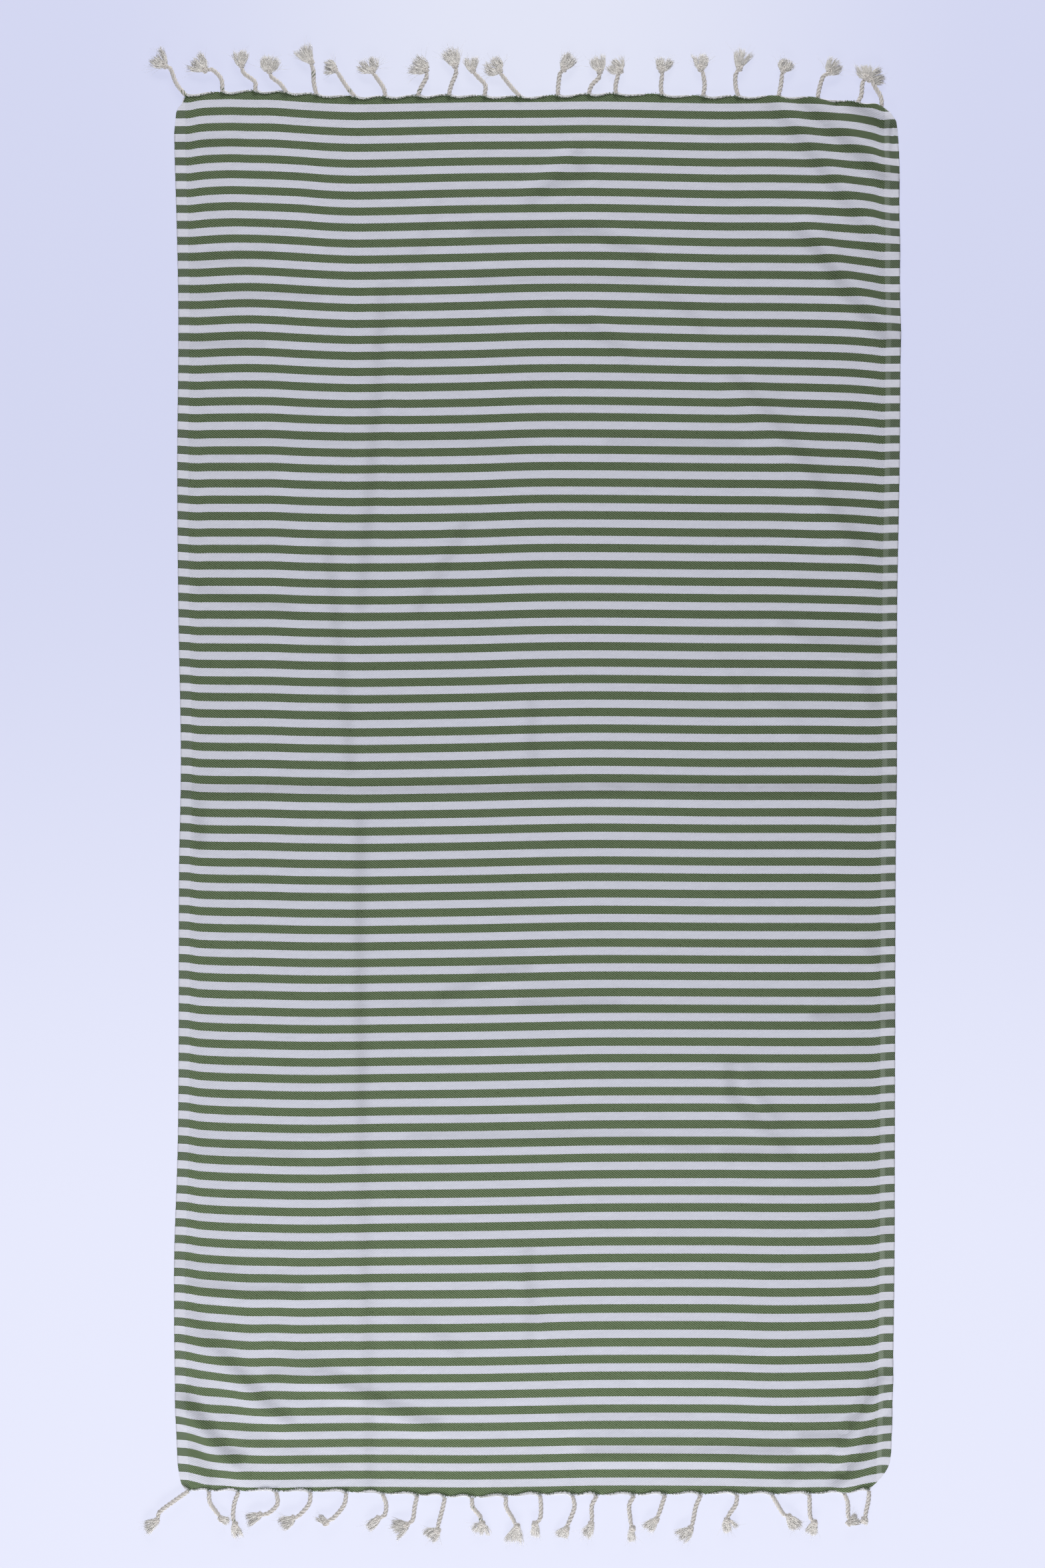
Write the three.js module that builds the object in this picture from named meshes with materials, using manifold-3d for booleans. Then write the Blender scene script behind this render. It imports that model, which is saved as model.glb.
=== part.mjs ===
// A fouta: a flat-woven cotton towel, laid out flat, with a row of twisted and knotted tassels at each end.
// Millimetres, +Z up. +Y runs along the towel to its far end, +X across it to the right.
// The origin is on the surface that the towel lies on, under the middle of the cloth.
import * as THREE from "three";
import { mergeVertices } from "three/addons/utils/BufferGeometryUtils.js";
import Module from "manifold-3d";

// Driving sizes
const CLOTH_WALL = 1.2; // thickness of the twill
const SEAM_GAP = 0.3; // between the cloth's end and the yarns that leave it
const FLOOR_GAP = 0.4; // the fringe ends this far above the floor

// Mesh spacing: fine near the corners, where the creases are, and coarse in the middle
const COLUMNS = 26;
const ROWS = 38;
const CORNER_GRADING = 0.62; // 0 spaces evenly, 1 crowds the lines at the borders
const STEPS_PER_GAP = 4; // along a cloth end, between two tassels

// Fringe sizes
const HEADING_WIDTH = 2; // the strip of warp yarns that runs along each cloth end
const HEADING_THICKNESS = 1.2;
const CORD_RADIUS = 2.9;
const CORD_ROOT_RADIUS = 1.3; // where the warp yarns gather, before the cord is twisted
const CORD_TAPER_LENGTH = 8;
const CORD_STEP = 6; // between two sections of a cord
const TWIST_PER_STEP = Math.PI / 4;
const CORD_RISE = 0.6; // from the first bend of a cord to the second, on its way up to the knot
const KNOT_RADII = { along: 5.6, across: 5.1, up: 4.2 };
const LOCKS = 3; // yarn locks in each tassel's tuft
const LOCK_SECTIONS = [
  { share: 0.12, radius: 2 },
  { share: 0.6, radius: 1.7 },
  { share: 1, radius: 1 },
];
const OUTER_LOCK = { reach: 0.9, tipGap: 1 }; // its share of the tuft's length, and its tip's height
const INNER_LOCK = { reach: 1, tipGap: 3.6 };

// The tassels draw each cloth end in and let it swell between them, by this much
const SCALLOP = 1.6;
const SCALLOP_PHASE = 0.55; // where the edge passes from drawn in to swollen, as a share of the gap

// Where the two selvedges lie, between the rounded corners of the near end and those of the far end
const SELVEDGES = [
  { y: -846, left: -453.7, right: 445.5 },
  { y: -818, left: -455, right: 445.5 },
  { y: -763, left: -457, right: 446.9 },
  { y: -595, left: -458.4, right: 449.4 },
  { y: -427, left: -453.5, right: 450 },
  { y: -90, left: -452, right: 451 },
  { y: 40, left: -449.8, right: 452.6 },
  { y: 245, left: -453.2, right: 453 },
  { y: 413, left: -454.4, right: 456 },
  { y: 580, left: -453, right: 457 },
  { y: 665, left: -453.8, right: 456.2 },
  { y: 811, left: -457.8, right: 455.4 },
  { y: 835, left: -458.2, right: 455.4 },
];

// The line of each cloth end from the left selvedge to the right one, with its rounded corners
const FAR_END = [
  { x: -458.2, y: 835 },
  { x: -456.5, y: 856.8 },
  { x: -454.4, y: 866 },
  { x: -447.3, y: 874.4 },
  { x: -444, y: 882.6 },
  { x: -397, y: 887 },
  { x: -340, y: 888 },
  { x: -231, y: 881.4 },
  { x: -112, y: 883 },
  { x: -23, y: 881.4 },
  { x: 100, y: 885.2 },
  { x: 208, y: 882 },
  { x: 303, y: 881.2 },
  { x: 352, y: 878.6 },
  { x: 403, y: 873.9 },
  { x: 433.4, y: 867.7 },
  { x: 443.2, y: 860 },
  { x: 449.4, y: 851.4 },
  { x: 452.3, y: 843.7 },
  { x: 453.8, y: 832.4 },
  { x: 455.4, y: 811.4 },
];
const NEAR_END = [
  { x: -453.7, y: -846.7 },
  { x: -452.8, y: -853.4 },
  { x: -450.7, y: -864.1 },
  { x: -448.1, y: -871.5 },
  { x: -440, y: -875.5 },
  { x: -377, y: -877 },
  { x: -240, y: -878.4 },
  { x: -152, y: -882.2 },
  { x: -83, y: -884.8 },
  { x: 3, y: -881.6 },
  { x: 74, y: -882 },
  { x: 205, y: -881 },
  { x: 342, y: -880.6 },
  { x: 386, y: -878.8 },
  { x: 417, y: -875.4 },
  { x: 429.3, y: -865.5 },
  { x: 437.4, y: -855.4 },
  { x: 442.8, y: -844.6 },
  { x: 445.5, y: -829.9 },
];

// The largest creases: a soft ridge from one point to another, its height and its half width
const CREASES = [
  { name: "far right corner, inner", from: [262, 868], to: [439, 640], height: 3.2, half: 26 },
  { name: "far right corner, outer", from: [352, 852], to: [452, 770], height: 2.8, half: 20 },
  { name: "far right side, sharp", from: [318, 716], to: [455, 566], height: 4, half: 24 },
  { name: "far right, long and soft", from: [236, 540], to: [436, 240], height: 2.6, half: 40 },
  { name: "far left, running inwards", from: [-128, 752], to: [-214, 300], height: 2.2, half: 34 },
  { name: "left quarter fold", from: [-222, -44], to: [-222, -750], height: 1.8, half: 30 },
  { name: "right side, short", from: [250, -330], to: [322, -466], height: 2, half: 28 },
  { name: "near left corner, outer", from: [-452, -742], to: [-366, -834], height: 3.6, half: 22 },
  { name: "near left corner, inner", from: [-440, -700], to: [-316, -780], height: 2.6, half: 24 },
  { name: "near left, running inwards", from: [-246, -742], to: [-100, -806], height: 2.4, half: 26 },
  { name: "near right corner", from: [440, -744], to: [322, -846], height: 3.2, half: 24 },
];

// Each tassel as it lies, in millimetres from its own root, which is at x = root on the cloth's end.
// x is to the right and out is away from the cloth: two bends on the cord, then the knot.
// The tuft turns from straight out, in degrees to the right, and fans out over spread.
const COLUMN_NAMES = "root x1 out1 x2 out2 knotX knotOut turn length spread".split(" ");
const tassels = (...rows) =>
  rows.map((row) => Object.fromEntries(row.map((value, i) => [COLUMN_NAMES[i], value])));

const FAR_TASSELS = tassels(
  [-444, -11, 15, -17, 32, -25, 38, -62, 19, 60],
  [-397, -1.5, 16, -10, 27, -22, 28, -34, 18, 70],
  [-356, 0, 11, -13, 20, -18, 32, 0, 19, 50],
  [-317, -7, 10, -17, 17, -22, 26, 0, 19, 75],
  [-279, -3, 15, -3, 28, -7, 40, -35, 18, 45],
  [-231, -8, 10, -18, 25, -24, 34, -65, 15, 75],
  [-192, -2, 10, -10, 22, -17, 31, -10, 16, 85],
  [-151, 4, 10, 11, 21, 11, 32, -73, 21, 65],
  [-112, 3, 12, 9, 25, 9, 37, -21, 20, 50],
  [-67, 1, 13, -6, 21, -16, 31, -8, 18, 45],
  [-23, -9, 10, -18, 21, -26, 31, -28, 19, 75],
  [25, 1, 14, 2, 25, 7, 33, 26, 19, 45],
  [64, 4, 11, 12, 18, 15, 28, -16, 20, 45],
  [98, 0, 10, 2, 19, 5, 28, -31, 16, 70],
  [156, -1, 10, 0, 20, 1, 30, 0, 16, 50],
  [208, 2, 12, 1, 23, -2, 34, -4, 17, 60],
  [252, -3, 13, -4, 24, 1, 35, 13, 23, 28],
  [303, 3, 14, 4, 24, 5, 33, 25, 16, 65],
  [352, 3, 15, 6, 27, 16, 32, 20, 18, 60],
  [403, 4, 8, 5, 22, 9, 31, -8, 19, 55],
  [433, -1, 12, -7, 25, -11, 35, 73, 20, 50],
);
const NEAR_TASSELS = tassels(
  [-440, -16, 14, -31, 24, -37, 34, -61, 24, 35],
  [-414, 1, 13, 8, 24, 16, 33, 50, 14, 40],
  [-377, -5, 14, -7, 27, -5, 41, 28, 17, 45],
  [-329, 1, 15, -7, 25, -21, 29, -75, 21, 70],
  [-286, -2, 14, -12, 27, -22, 33, -60, 20, 60],
  [-241, -3, 15, -14, 30, -26, 36, -128, 13, 35],
  [-195, 4, 13, 4, 24, -6, 31, -42, 20, 50],
  [-152, -3, 13, -4, 28, -13, 37, -74, 21, 75],
  [-117, -3, 14, -7, 29, -10, 41, -52, 20, 60],
  [-83, 1, 11, 10, 21, 12, 32, -12, 19, 90],
  [-40, 0, 12, 8, 26, 13, 37, -9, 22, 60],
  [3, 1, 15, 1, 27, -6, 36, 2, 18, 32],
  [44, 2, 14, -3, 29, -9, 41, -24, 14, 75],
  [74, -6, 12, -6, 26, -6, 35, -29, 20, 35],
  [121, -6, 12, -5, 27, -3, 41, 0, 20, 30],
  [160, -4, 12, -7, 22, -12, 30, -46, 19, 60],
  [205, -6, 14, -9, 29, -12, 42, -42, 20, 65],
  [251, -2, 12, -9, 22, -14, 31, 12, 20, 80],
  [295, 6, 11, 12, 22, 21, 28, 41, 18, 35],
  [342, 0, 13, 0, 26, 5, 35, -21, 17, 55],
  [386, 4, 12, 4, 24, 6, 36, 115, 13, 60],
  [417, -1, 13, -4, 25, -5, 36, -18, 12, 60],
);

// The colours of the yarns
const GREEN_AND_WHITE_TWILL = new THREE.MeshStandardMaterial({
  name: "striped_twill",
  color: new THREE.Color(0.36, 0.43, 0.3),
  roughness: 0.9,
  metalness: 0,
});
const UNDYED_COTTON = new THREE.MeshStandardMaterial({
  name: "cotton_fringe",
  color: new THREE.Color(0.76, 0.73, 0.67),
  roughness: 0.95,
  metalness: 0,
});

const { lerp, clamp, smoothstep, degToRad } = THREE.MathUtils;

// Reads a column of a table at a place between two rows, along a smooth curve through them all.
function readTable(table, key, at, column) {
  const last = table.length - 1;
  const found = table.findIndex((row) => row[key] > at);
  const i = clamp(found < 0 ? last : found, 1, last) - 1;
  const slopeAt = (k) => {
    const before = table[Math.max(k - 1, 0)];
    const after = table[Math.min(k + 1, last)];
    return (after[column] - before[column]) / (after[key] - before[key]);
  };
  const [a, b] = [table[i], table[i + 1]];
  const span = b[key] - a[key];
  const t = clamp((at - a[key]) / span, 0, 1);
  const [start, end] = [a[column], b[column]];
  const [leave, arrive] = [slopeAt(i) * span, slopeAt(i + 1) * span];
  const square = t * t;
  const cube = square * t;
  return (
    start * (2 * cube - 3 * square + 1) +
    end * (3 * square - 2 * cube) +
    leave * (cube - 2 * square + t) +
    arrive * (cube - square)
  );
}

// How high the cloth is lifted at a point: every crease is a ridge that dies out at its ends.
function liftAt(x, y) {
  let lift = 0;
  for (const { from, to, height, half } of CREASES) {
    const along = new THREE.Vector2(to[0] - from[0], to[1] - from[1]);
    const offset = new THREE.Vector2(x - from[0], y - from[1]);
    const share = offset.dot(along) / along.lengthSq();
    const away = Math.abs(offset.cross(along)) / along.length();
    const across = 1 - smoothstep(away, 0, half);
    const fade = smoothstep(share, -0.1, 0.3) * (1 - smoothstep(share, 0.75, 1.1));
    lift = Math.max(lift, height * across * fade);
  }
  return lift;
}

// One end of the towel: which way is out, the line of the cloth's end and the tassels on it.
const FAR = { name: "far", out: 1, line: FAR_END, tassels: FAR_TASSELS };
const NEAR = { name: "near", out: -1, line: NEAR_END, tassels: NEAR_TASSELS };

// The end of the cloth at x. From each root the yarns draw the edge in, and it swells before the next.
function endLine(end, x) {
  const roots = end.tassels.map((tassel) => tassel.root);
  const next = roots.findIndex((root) => root > x);
  const plain = readTable(end.line, "x", x, "y");
  if (next < 1) return plain;
  const share = (x - roots[next - 1]) / (roots[next] - roots[next - 1]);
  const turned = end.out > 0 ? share : 1 - share;
  return plain + end.out * SCALLOP * Math.sin(2 * Math.PI * (turned - SCALLOP_PHASE));
}

// The x positions where a cloth end is worked out: its corners, the tassels' roots and steps between.
function endPositions(end) {
  const roots = end.tassels.map((tassel) => tassel.root);
  const before = end.line.filter(({ x }) => x < roots[0]);
  const after = end.line.filter(({ x }) => x > roots.at(-1));
  const between = roots.slice(1).flatMap((root, i) =>
    Array.from({ length: STEPS_PER_GAP }, (_, k) => lerp(roots[i], root, k / STEPS_PER_GAP)),
  );
  return [...before.map(({ x }) => x), ...between, roots.at(-1), ...after.map(({ x }) => x)];
}

// The place on a cloth end at x.
const endPoint = (end, x) => new THREE.Vector3(x, endLine(end, x), liftAt(x, endLine(end, x)));

// A row of points along a cloth end, each with its share of the way across.
function endRow(end) {
  const [left, right] = [end.line[0].x, end.line.at(-1).x];
  return endPositions(end).map((x) => ({
    across: (x - left) / (right - left),
    point: endPoint(end, x),
  }));
}

// Even shares from 0 to 1, crowded towards both borders.
function gradedShares(count) {
  return Array.from({ length: count + 1 }, (_, i) => {
    const share = i / count;
    return lerp(share, (1 - Math.cos(Math.PI * share)) / 2, CORNER_GRADING);
  });
}

// A row of points across the cloth's underside, at a share of the way from the near end to the far.
function clothRow(along) {
  return gradedShares(COLUMNS).map((across) => {
    const [near, far] = [NEAR_END, FAR_END].map((line) =>
      readTable(line, "x", lerp(line[0].x, line.at(-1).x, across), "y"),
    );
    const y = lerp(near, far, along);
    const left = readTable(SELVEDGES, "y", y, "left");
    const right = readTable(SELVEDGES, "y", y, "right");
    const x = lerp(left, right, across);
    return { across, point: new THREE.Vector3(x, y, liftAt(x, y)) };
  });
}

// A mesh geometry from a list of points and a list of triangles.
function geometryOf(points, triangles) {
  const geometry = new THREE.BufferGeometry().setFromPoints(points);
  geometry.setIndex(triangles.flat());
  return geometry;
}

// The triangles between two rows of points, which may have different counts.
function stitchRows(lower, upper) {
  const triangles = [];
  let [a, b] = [0, 0];
  while (a < lower.length - 1 || b < upper.length - 1) {
    const stepLower =
      b === upper.length - 1 ||
      (a < lower.length - 1 && lower[a + 1].across <= upper[b + 1].across);
    const third = stepLower ? lower[a + 1] : upper[b + 1];
    triangles.push([lower[a].index, third.index, upper[b].index]);
    if (stepLower) a++;
    else b++;
  }
  return triangles;
}

// The cloth: a wall of even thickness whose underside lies on the floor between the creases.
function clothGeometry() {
  const inner = gradedShares(ROWS).slice(1, -1).map(clothRow);
  const rows = [endRow(NEAR), ...inner, endRow(FAR)];
  const points = rows.flat().map((entry) => entry.point);
  rows.flat().forEach((entry, index) => Object.assign(entry, { index }));
  const underside = points.length;
  const above = rows.slice(1).flatMap((row, i) => stitchRows(rows[i], row));
  const below = above.map(([a, b, c]) => [a + underside, c + underside, b + underside]);
  const border = [
    ...rows[0],
    ...rows.slice(1, -1).map((row) => row.at(-1)),
    ...rows.at(-1).toReversed(),
    ...rows.slice(1, -1).toReversed().map((row) => row[0]),
  ].map((entry) => entry.index);
  const rim = border.flatMap((a, i) => {
    const b = border[(i + 1) % border.length];
    return [
      [a + underside, b + underside, b],
      [a + underside, b, a],
    ];
  });
  const top = points.map((point) => point.clone().setZ(point.z + CLOTH_WALL));
  return geometryOf([...top, ...points], [...above, ...below, ...rim]);
}

// A closed body through a row of rings that all have the same number of points.
function loft(rings) {
  const sides = rings[0].length;
  const triangles = [];
  for (let i = 0; i + 1 < rings.length; i++) {
    for (let k = 0; k < sides; k++) {
      const [a, b] = [i * sides + k, i * sides + ((k + 1) % sides)];
      triangles.push([a, b, b + sides], [a, b + sides, a + sides]);
    }
  }
  const last = (rings.length - 1) * sides;
  for (let k = 1; k + 1 < sides; k++) {
    triangles.push([0, k + 1, k], [last, last + k, last + k + 1]);
  }
  return geometryOf(rings.flat(), triangles);
}

// A ring of points around a place on a strand, square to the way it runs.
function ringAround(centre, tangent, radius, sides, phase) {
  const sideways = new THREE.Vector3(0, 0, 1).cross(tangent).normalize();
  const upwards = tangent.clone().cross(sideways);
  return Array.from({ length: sides }, (_, k) => {
    const angle = phase + (2 * Math.PI * k) / sides;
    return centre
      .clone()
      .addScaledVector(sideways, radius * Math.cos(angle))
      .addScaledVector(upwards, radius * Math.sin(angle));
  });
}

// The narrow heading of warp yarns along a cloth end, which every tassel grows from.
function headingGeometry(end) {
  const [first, last] = [end.tassels[0].root, end.tassels.at(-1).root];
  const rings = endPositions(end)
    .filter((x) => x >= first && x <= last)
    .map((x) => {
      const edge = endPoint(end, x);
      const bottom = edge.z + FLOOR_GAP;
      const [inner, outer] = [SEAM_GAP, SEAM_GAP + HEADING_WIDTH].map((d) => edge.y + end.out * d);
      const corners = [
        [inner, bottom],
        [outer, bottom],
        [outer, bottom + HEADING_THICKNESS],
        [inner, bottom + HEADING_THICKNESS],
      ].map(([y, z]) => new THREE.Vector3(edge.x, y, z));
      return end.out > 0 ? corners : corners.toReversed();
    });
  return loft(rings);
}

// One tassel: a twisted cord from the heading to its knot, and the locks that fan out of the knot.
function tasselGeometries(end, tassel) {
  const edge = endPoint(end, tassel.root);
  const startOut = SEAM_GAP + CORD_ROOT_RADIUS;
  const place = (x, out, z) => new THREE.Vector3(edge.x + x, edge.y + end.out * out, z);
  const cordHeight = FLOOR_GAP + CORD_RADIUS;
  const knotHeight = FLOOR_GAP + KNOT_RADII.up;
  const knot = place(tassel.knotX, tassel.knotOut, knotHeight);
  const route = new THREE.CatmullRomCurve3([
    place(0, startOut, edge.z + FLOOR_GAP + CORD_ROOT_RADIUS),
    place(tassel.x1, tassel.out1, cordHeight),
    place(tassel.x2, tassel.out2, cordHeight + CORD_RISE),
    knot,
  ]);
  const length = route.getLength();
  const steps = Math.round(length / CORD_STEP);
  const rings = Array.from({ length: steps + 1 }, (_, i) => {
    const grown = clamp(((i / steps) * length) / CORD_TAPER_LENGTH, 0, 1);
    const radius = lerp(CORD_ROOT_RADIUS, CORD_RADIUS, grown);
    const tangent = route.getTangentAt(i / steps);
    const centre = route.getPointAt(i / steps);
    centre.z = Math.max(centre.z, FLOOR_GAP + radius);
    return ringAround(centre, tangent, radius, 4, i * TWIST_PER_STEP);
  });
  const headingAt = (degrees) =>
    new THREE.Vector3(Math.sin(degToRad(degrees)), end.out * Math.cos(degToRad(degrees)), 0);
  const tuftHeading = headingAt(tassel.turn);
  const knotShape = new THREE.SphereGeometry(1, 6, 3)
    .scale(KNOT_RADII.along, KNOT_RADII.across, KNOT_RADII.up)
    .rotateZ(Math.atan2(tuftHeading.y, tuftHeading.x))
    .translate(knot.x, knot.y, knot.z);
  const locks = Array.from({ length: LOCKS }, (_, k) => {
    const heading = headingAt(tassel.turn + tassel.spread * (k / (LOCKS - 1) - 0.5));
    const { reach, tipGap } = k % 2 ? INNER_LOCK : OUTER_LOCK;
    const sections = LOCK_SECTIONS.map(({ share, radius }) => {
      const height = lerp(knot.z, FLOOR_GAP + LOCK_SECTIONS.at(-1).radius + tipGap, share);
      const centre = knot.clone().addScaledVector(heading, tassel.length * reach * share);
      return ringAround(centre.setZ(height), heading, radius, 3, Math.PI / 2);
    });
    return loft(sections);
  });
  return [loft(rings), knotShape, ...locks];
}

const wasm = await Module();
wasm.setup();

// A closed mesh as a solid that can be joined to others.
function solidOf(geometry) {
  const bare = geometry.clone().deleteAttribute("normal").deleteAttribute("uv");
  const merged = mergeVertices(bare, 1e-4);
  return new wasm.Manifold(
    new wasm.Mesh({
      numProp: 3,
      vertProperties: merged.attributes.position.array,
      triVerts: new Uint32Array(merged.index.array),
    }),
  );
}

// The fringe of one end: the heading and all its tassels, joined into one body.
function fringeGeometry(end) {
  const pieces = [headingGeometry(end), ...end.tassels.flatMap((t) => tasselGeometries(end, t))];
  const joined = pieces.map(solidOf).reduce((whole, piece) => whole.add(piece));
  const mesh = joined.getMesh();
  const geometry = new THREE.BufferGeometry();
  geometry.setAttribute("position", new THREE.BufferAttribute(mesh.vertProperties, 3));
  geometry.setIndex(new THREE.BufferAttribute(mesh.triVerts, 1));
  return geometry;
}

// A named sub-part with its own material.
function subPart(name, geometry, material) {
  geometry.computeVertexNormals();
  const mesh = new THREE.Mesh(geometry, material);
  mesh.name = name;
  return mesh;
}

const fouta = new THREE.Group();
fouta.add(subPart("cloth", clothGeometry(), GREEN_AND_WHITE_TWILL));
for (const end of [FAR, NEAR]) {
  fouta.add(subPart(`fringe_${end.name}`, fringeGeometry(end), UNDYED_COTTON));
}

export default fouta;
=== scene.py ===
# %% [markdown]
# # A striped fouta, spread flat
#
# A fouta is a flat-woven cotton towel with a fringe at both ends. This one has crosswise stripes in
# green and off-white, and its loose warp is twisted into cords, knotted and left to fray.
#
# The lesson builds it in the order in which it was made: first the cloth as it comes off the loom,
# then the yarns that leave its ends, then the cords, their knots and their tufts.
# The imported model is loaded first. It stays as it is, and every piece here is fitted to it.

import math
import random

import bpy
import numpy as np
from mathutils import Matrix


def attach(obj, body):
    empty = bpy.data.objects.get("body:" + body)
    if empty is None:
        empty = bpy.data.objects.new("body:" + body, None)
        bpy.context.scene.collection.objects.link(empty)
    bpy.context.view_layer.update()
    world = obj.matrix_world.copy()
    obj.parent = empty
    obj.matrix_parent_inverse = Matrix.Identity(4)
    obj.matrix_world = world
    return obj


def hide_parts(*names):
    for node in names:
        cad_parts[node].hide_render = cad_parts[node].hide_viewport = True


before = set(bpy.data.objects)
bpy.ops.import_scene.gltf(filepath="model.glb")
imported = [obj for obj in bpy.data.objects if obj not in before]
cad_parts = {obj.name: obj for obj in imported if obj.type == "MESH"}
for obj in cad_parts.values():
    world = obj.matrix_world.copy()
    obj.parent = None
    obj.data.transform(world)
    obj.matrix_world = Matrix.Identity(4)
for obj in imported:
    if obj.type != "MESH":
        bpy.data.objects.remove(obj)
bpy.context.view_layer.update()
MM = 0.001

# %% [markdown]
# ## The camera
#
# The towel is seen straight from above, with its length upright in the picture. A 50 mm lens on a
# 36 mm frame takes in almost two metres from this height, which leaves a margin round the tassels.

# %% Camera
LENS = 50
FRAME_LONG_SIDE = 36
CAMERA_PLACE = (-0.0193, 0.0134, 2.744)
camera_data = bpy.data.cameras.new("overhead_camera")
camera_data.lens = LENS
camera_data.sensor_width = FRAME_LONG_SIDE
camera_data.clip_end = 20
camera = bpy.data.objects.new("overhead_camera", camera_data)
camera.location = CAMERA_PLACE
bpy.context.scene.collection.objects.link(camera)
bpy.context.scene.camera = camera
print("picture covers", round(camera.location.z * FRAME_LONG_SIDE / LENS, 3), "m of the floor")

# %% [markdown]
# ## Reading a curve through a short table
#
# The cloth's outline, its stripes and the cords are all given by a few measured places. A cubic
# curve through those places gives everything between them. Blender's own curve objects could do the
# same, but here one small function serves outlines, surfaces and cords alike.


# %% A curve through measured places
def through(places, values, at):
    """Values at given places, on a smooth curve through a table of places and values."""
    places = np.asarray(places, float)
    values = np.asarray(values, float)
    at = np.atleast_1d(np.asarray(at, float))
    slopes = np.empty_like(values)
    flat = (-1,) + (1,) * (values.ndim - 1)
    slopes[1:-1] = (values[2:] - values[:-2]) / (places[2:] - places[:-2]).reshape(flat)
    slopes[0] = (values[1] - values[0]) / (places[1] - places[0])
    slopes[-1] = (values[-1] - values[-2]) / (places[-1] - places[-2])
    i = np.clip(np.searchsorted(places, at, side="right") - 1, 0, len(places) - 2)
    span = places[i + 1] - places[i]
    t = np.clip((at - places[i]) / span, 0, 1)
    start, end = values[i], values[i + 1]
    leave, arrive = slopes[i], slopes[i + 1]
    if values.ndim > 1:
        t = t[:, None]
        span = span[:, None]
    return (
        start * (2 * t**3 - 3 * t**2 + 1)
        + end * (3 * t**2 - 2 * t**3)
        + leave * span * (t**3 - 2 * t**2 + t)
        + arrive * span * (t**3 - t**2)
    )


def smooth(value, low, high):
    """A soft step from 0 at low to 1 at high."""
    t = np.clip((np.asarray(value, float) - low) / (high - low), 0, 1)
    return t * t * (3 - 2 * t)


print("a curve through 0, 1 and 4 passes", through([0, 1, 2], [0, 1, 4], 1.5)[0], "before it reaches 4")

# %% [markdown]
# ## The outline
#
# No cloth lies quite square. The two selvedges wander by a few millimetres, and the corners are
# drawn in and rounded, because the outermost tassels pull at them. The tables hold the places that
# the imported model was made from, in millimetres, and are turned into metres as they are read.

# %% Outline of the cloth, in millimetres
SELVEDGE_Y = np.array([-846, -818, -763, -595, -427, -90, 40, 245, 413, 580, 665, 811, 835])
SELVEDGE_LEFT = np.array(
    [-453.7, -455, -457, -458.4, -453.5, -452, -449.8, -453.2, -454.4, -453, -453.8, -457.8, -458.2]
)
SELVEDGE_RIGHT = np.array(
    [445.5, 445.5, 446.9, 449.4, 450, 451, 452.6, 453, 456, 457, 456.2, 455.4, 455.4]
)
FAR_END = np.array(
    [
        (-458.2, 835), (-456.5, 856.8), (-454.4, 866), (-447.3, 874.4), (-444, 882.6),
        (-397, 887), (-340, 888), (-231, 881.4), (-112, 883), (-23, 881.4), (100, 885.2),
        (208, 882), (303, 881.2), (352, 878.6), (403, 873.9), (433.4, 867.7), (443.2, 860),
        (449.4, 851.4), (452.3, 843.7), (453.8, 832.4), (455.4, 811.4),
    ]
)
NEAR_END = np.array(
    [
        (-453.7, -846.7), (-452.8, -853.4), (-450.7, -864.1), (-448.1, -871.5), (-440, -875.5),
        (-377, -877), (-240, -878.4), (-152, -882.2), (-83, -884.8), (3, -881.6), (74, -882),
        (205, -881), (342, -880.6), (386, -878.8), (417, -875.4), (429.3, -865.5),
        (437.4, -855.4), (442.8, -844.6), (445.5, -829.9),
    ]
)
# The weft stops just short of the model's ends, where the gathered warp begins.
FAR_SHORT = 3
NEAR_SHORT = 1.7
FAR_EDGE = FAR_END - [0, FAR_SHORT]
NEAR_EDGE = NEAR_END + [0, NEAR_SHORT]


def selvedges(y):
    """Where the left and the right selvedge lie at y, in metres."""
    left = through(SELVEDGE_Y * MM, SELVEDGE_LEFT * MM, y)
    right = through(SELVEDGE_Y * MM, SELVEDGE_RIGHT * MM, y)
    return left, right


def plain_end(end_line, x):
    """The line of a cloth end at x, before the tassels draw it in and out."""
    return through(end_line[:, 0] * MM, end_line[:, 1] * MM, x)


near_width = round(np.ptp(NEAR_END[:, 0]))
greatest_length = round(FAR_END[:, 1].max() - NEAR_END[:, 1].min())
print("cloth", near_width, "mm wide at its near end, and up to", greatest_length, "mm long")

# %% [markdown]
# ## The tassels as they lie
#
# Every tassel fell its own way, so each has its own row. The root is its place along the cloth end.
# The other numbers are millimetres from that root: x to the right and out away from the cloth, for
# two bends of the cord and then the knot. The tuft turns from straight out, in degrees to the right,
# reaches its length from the knot and fans out over its spread.

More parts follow.
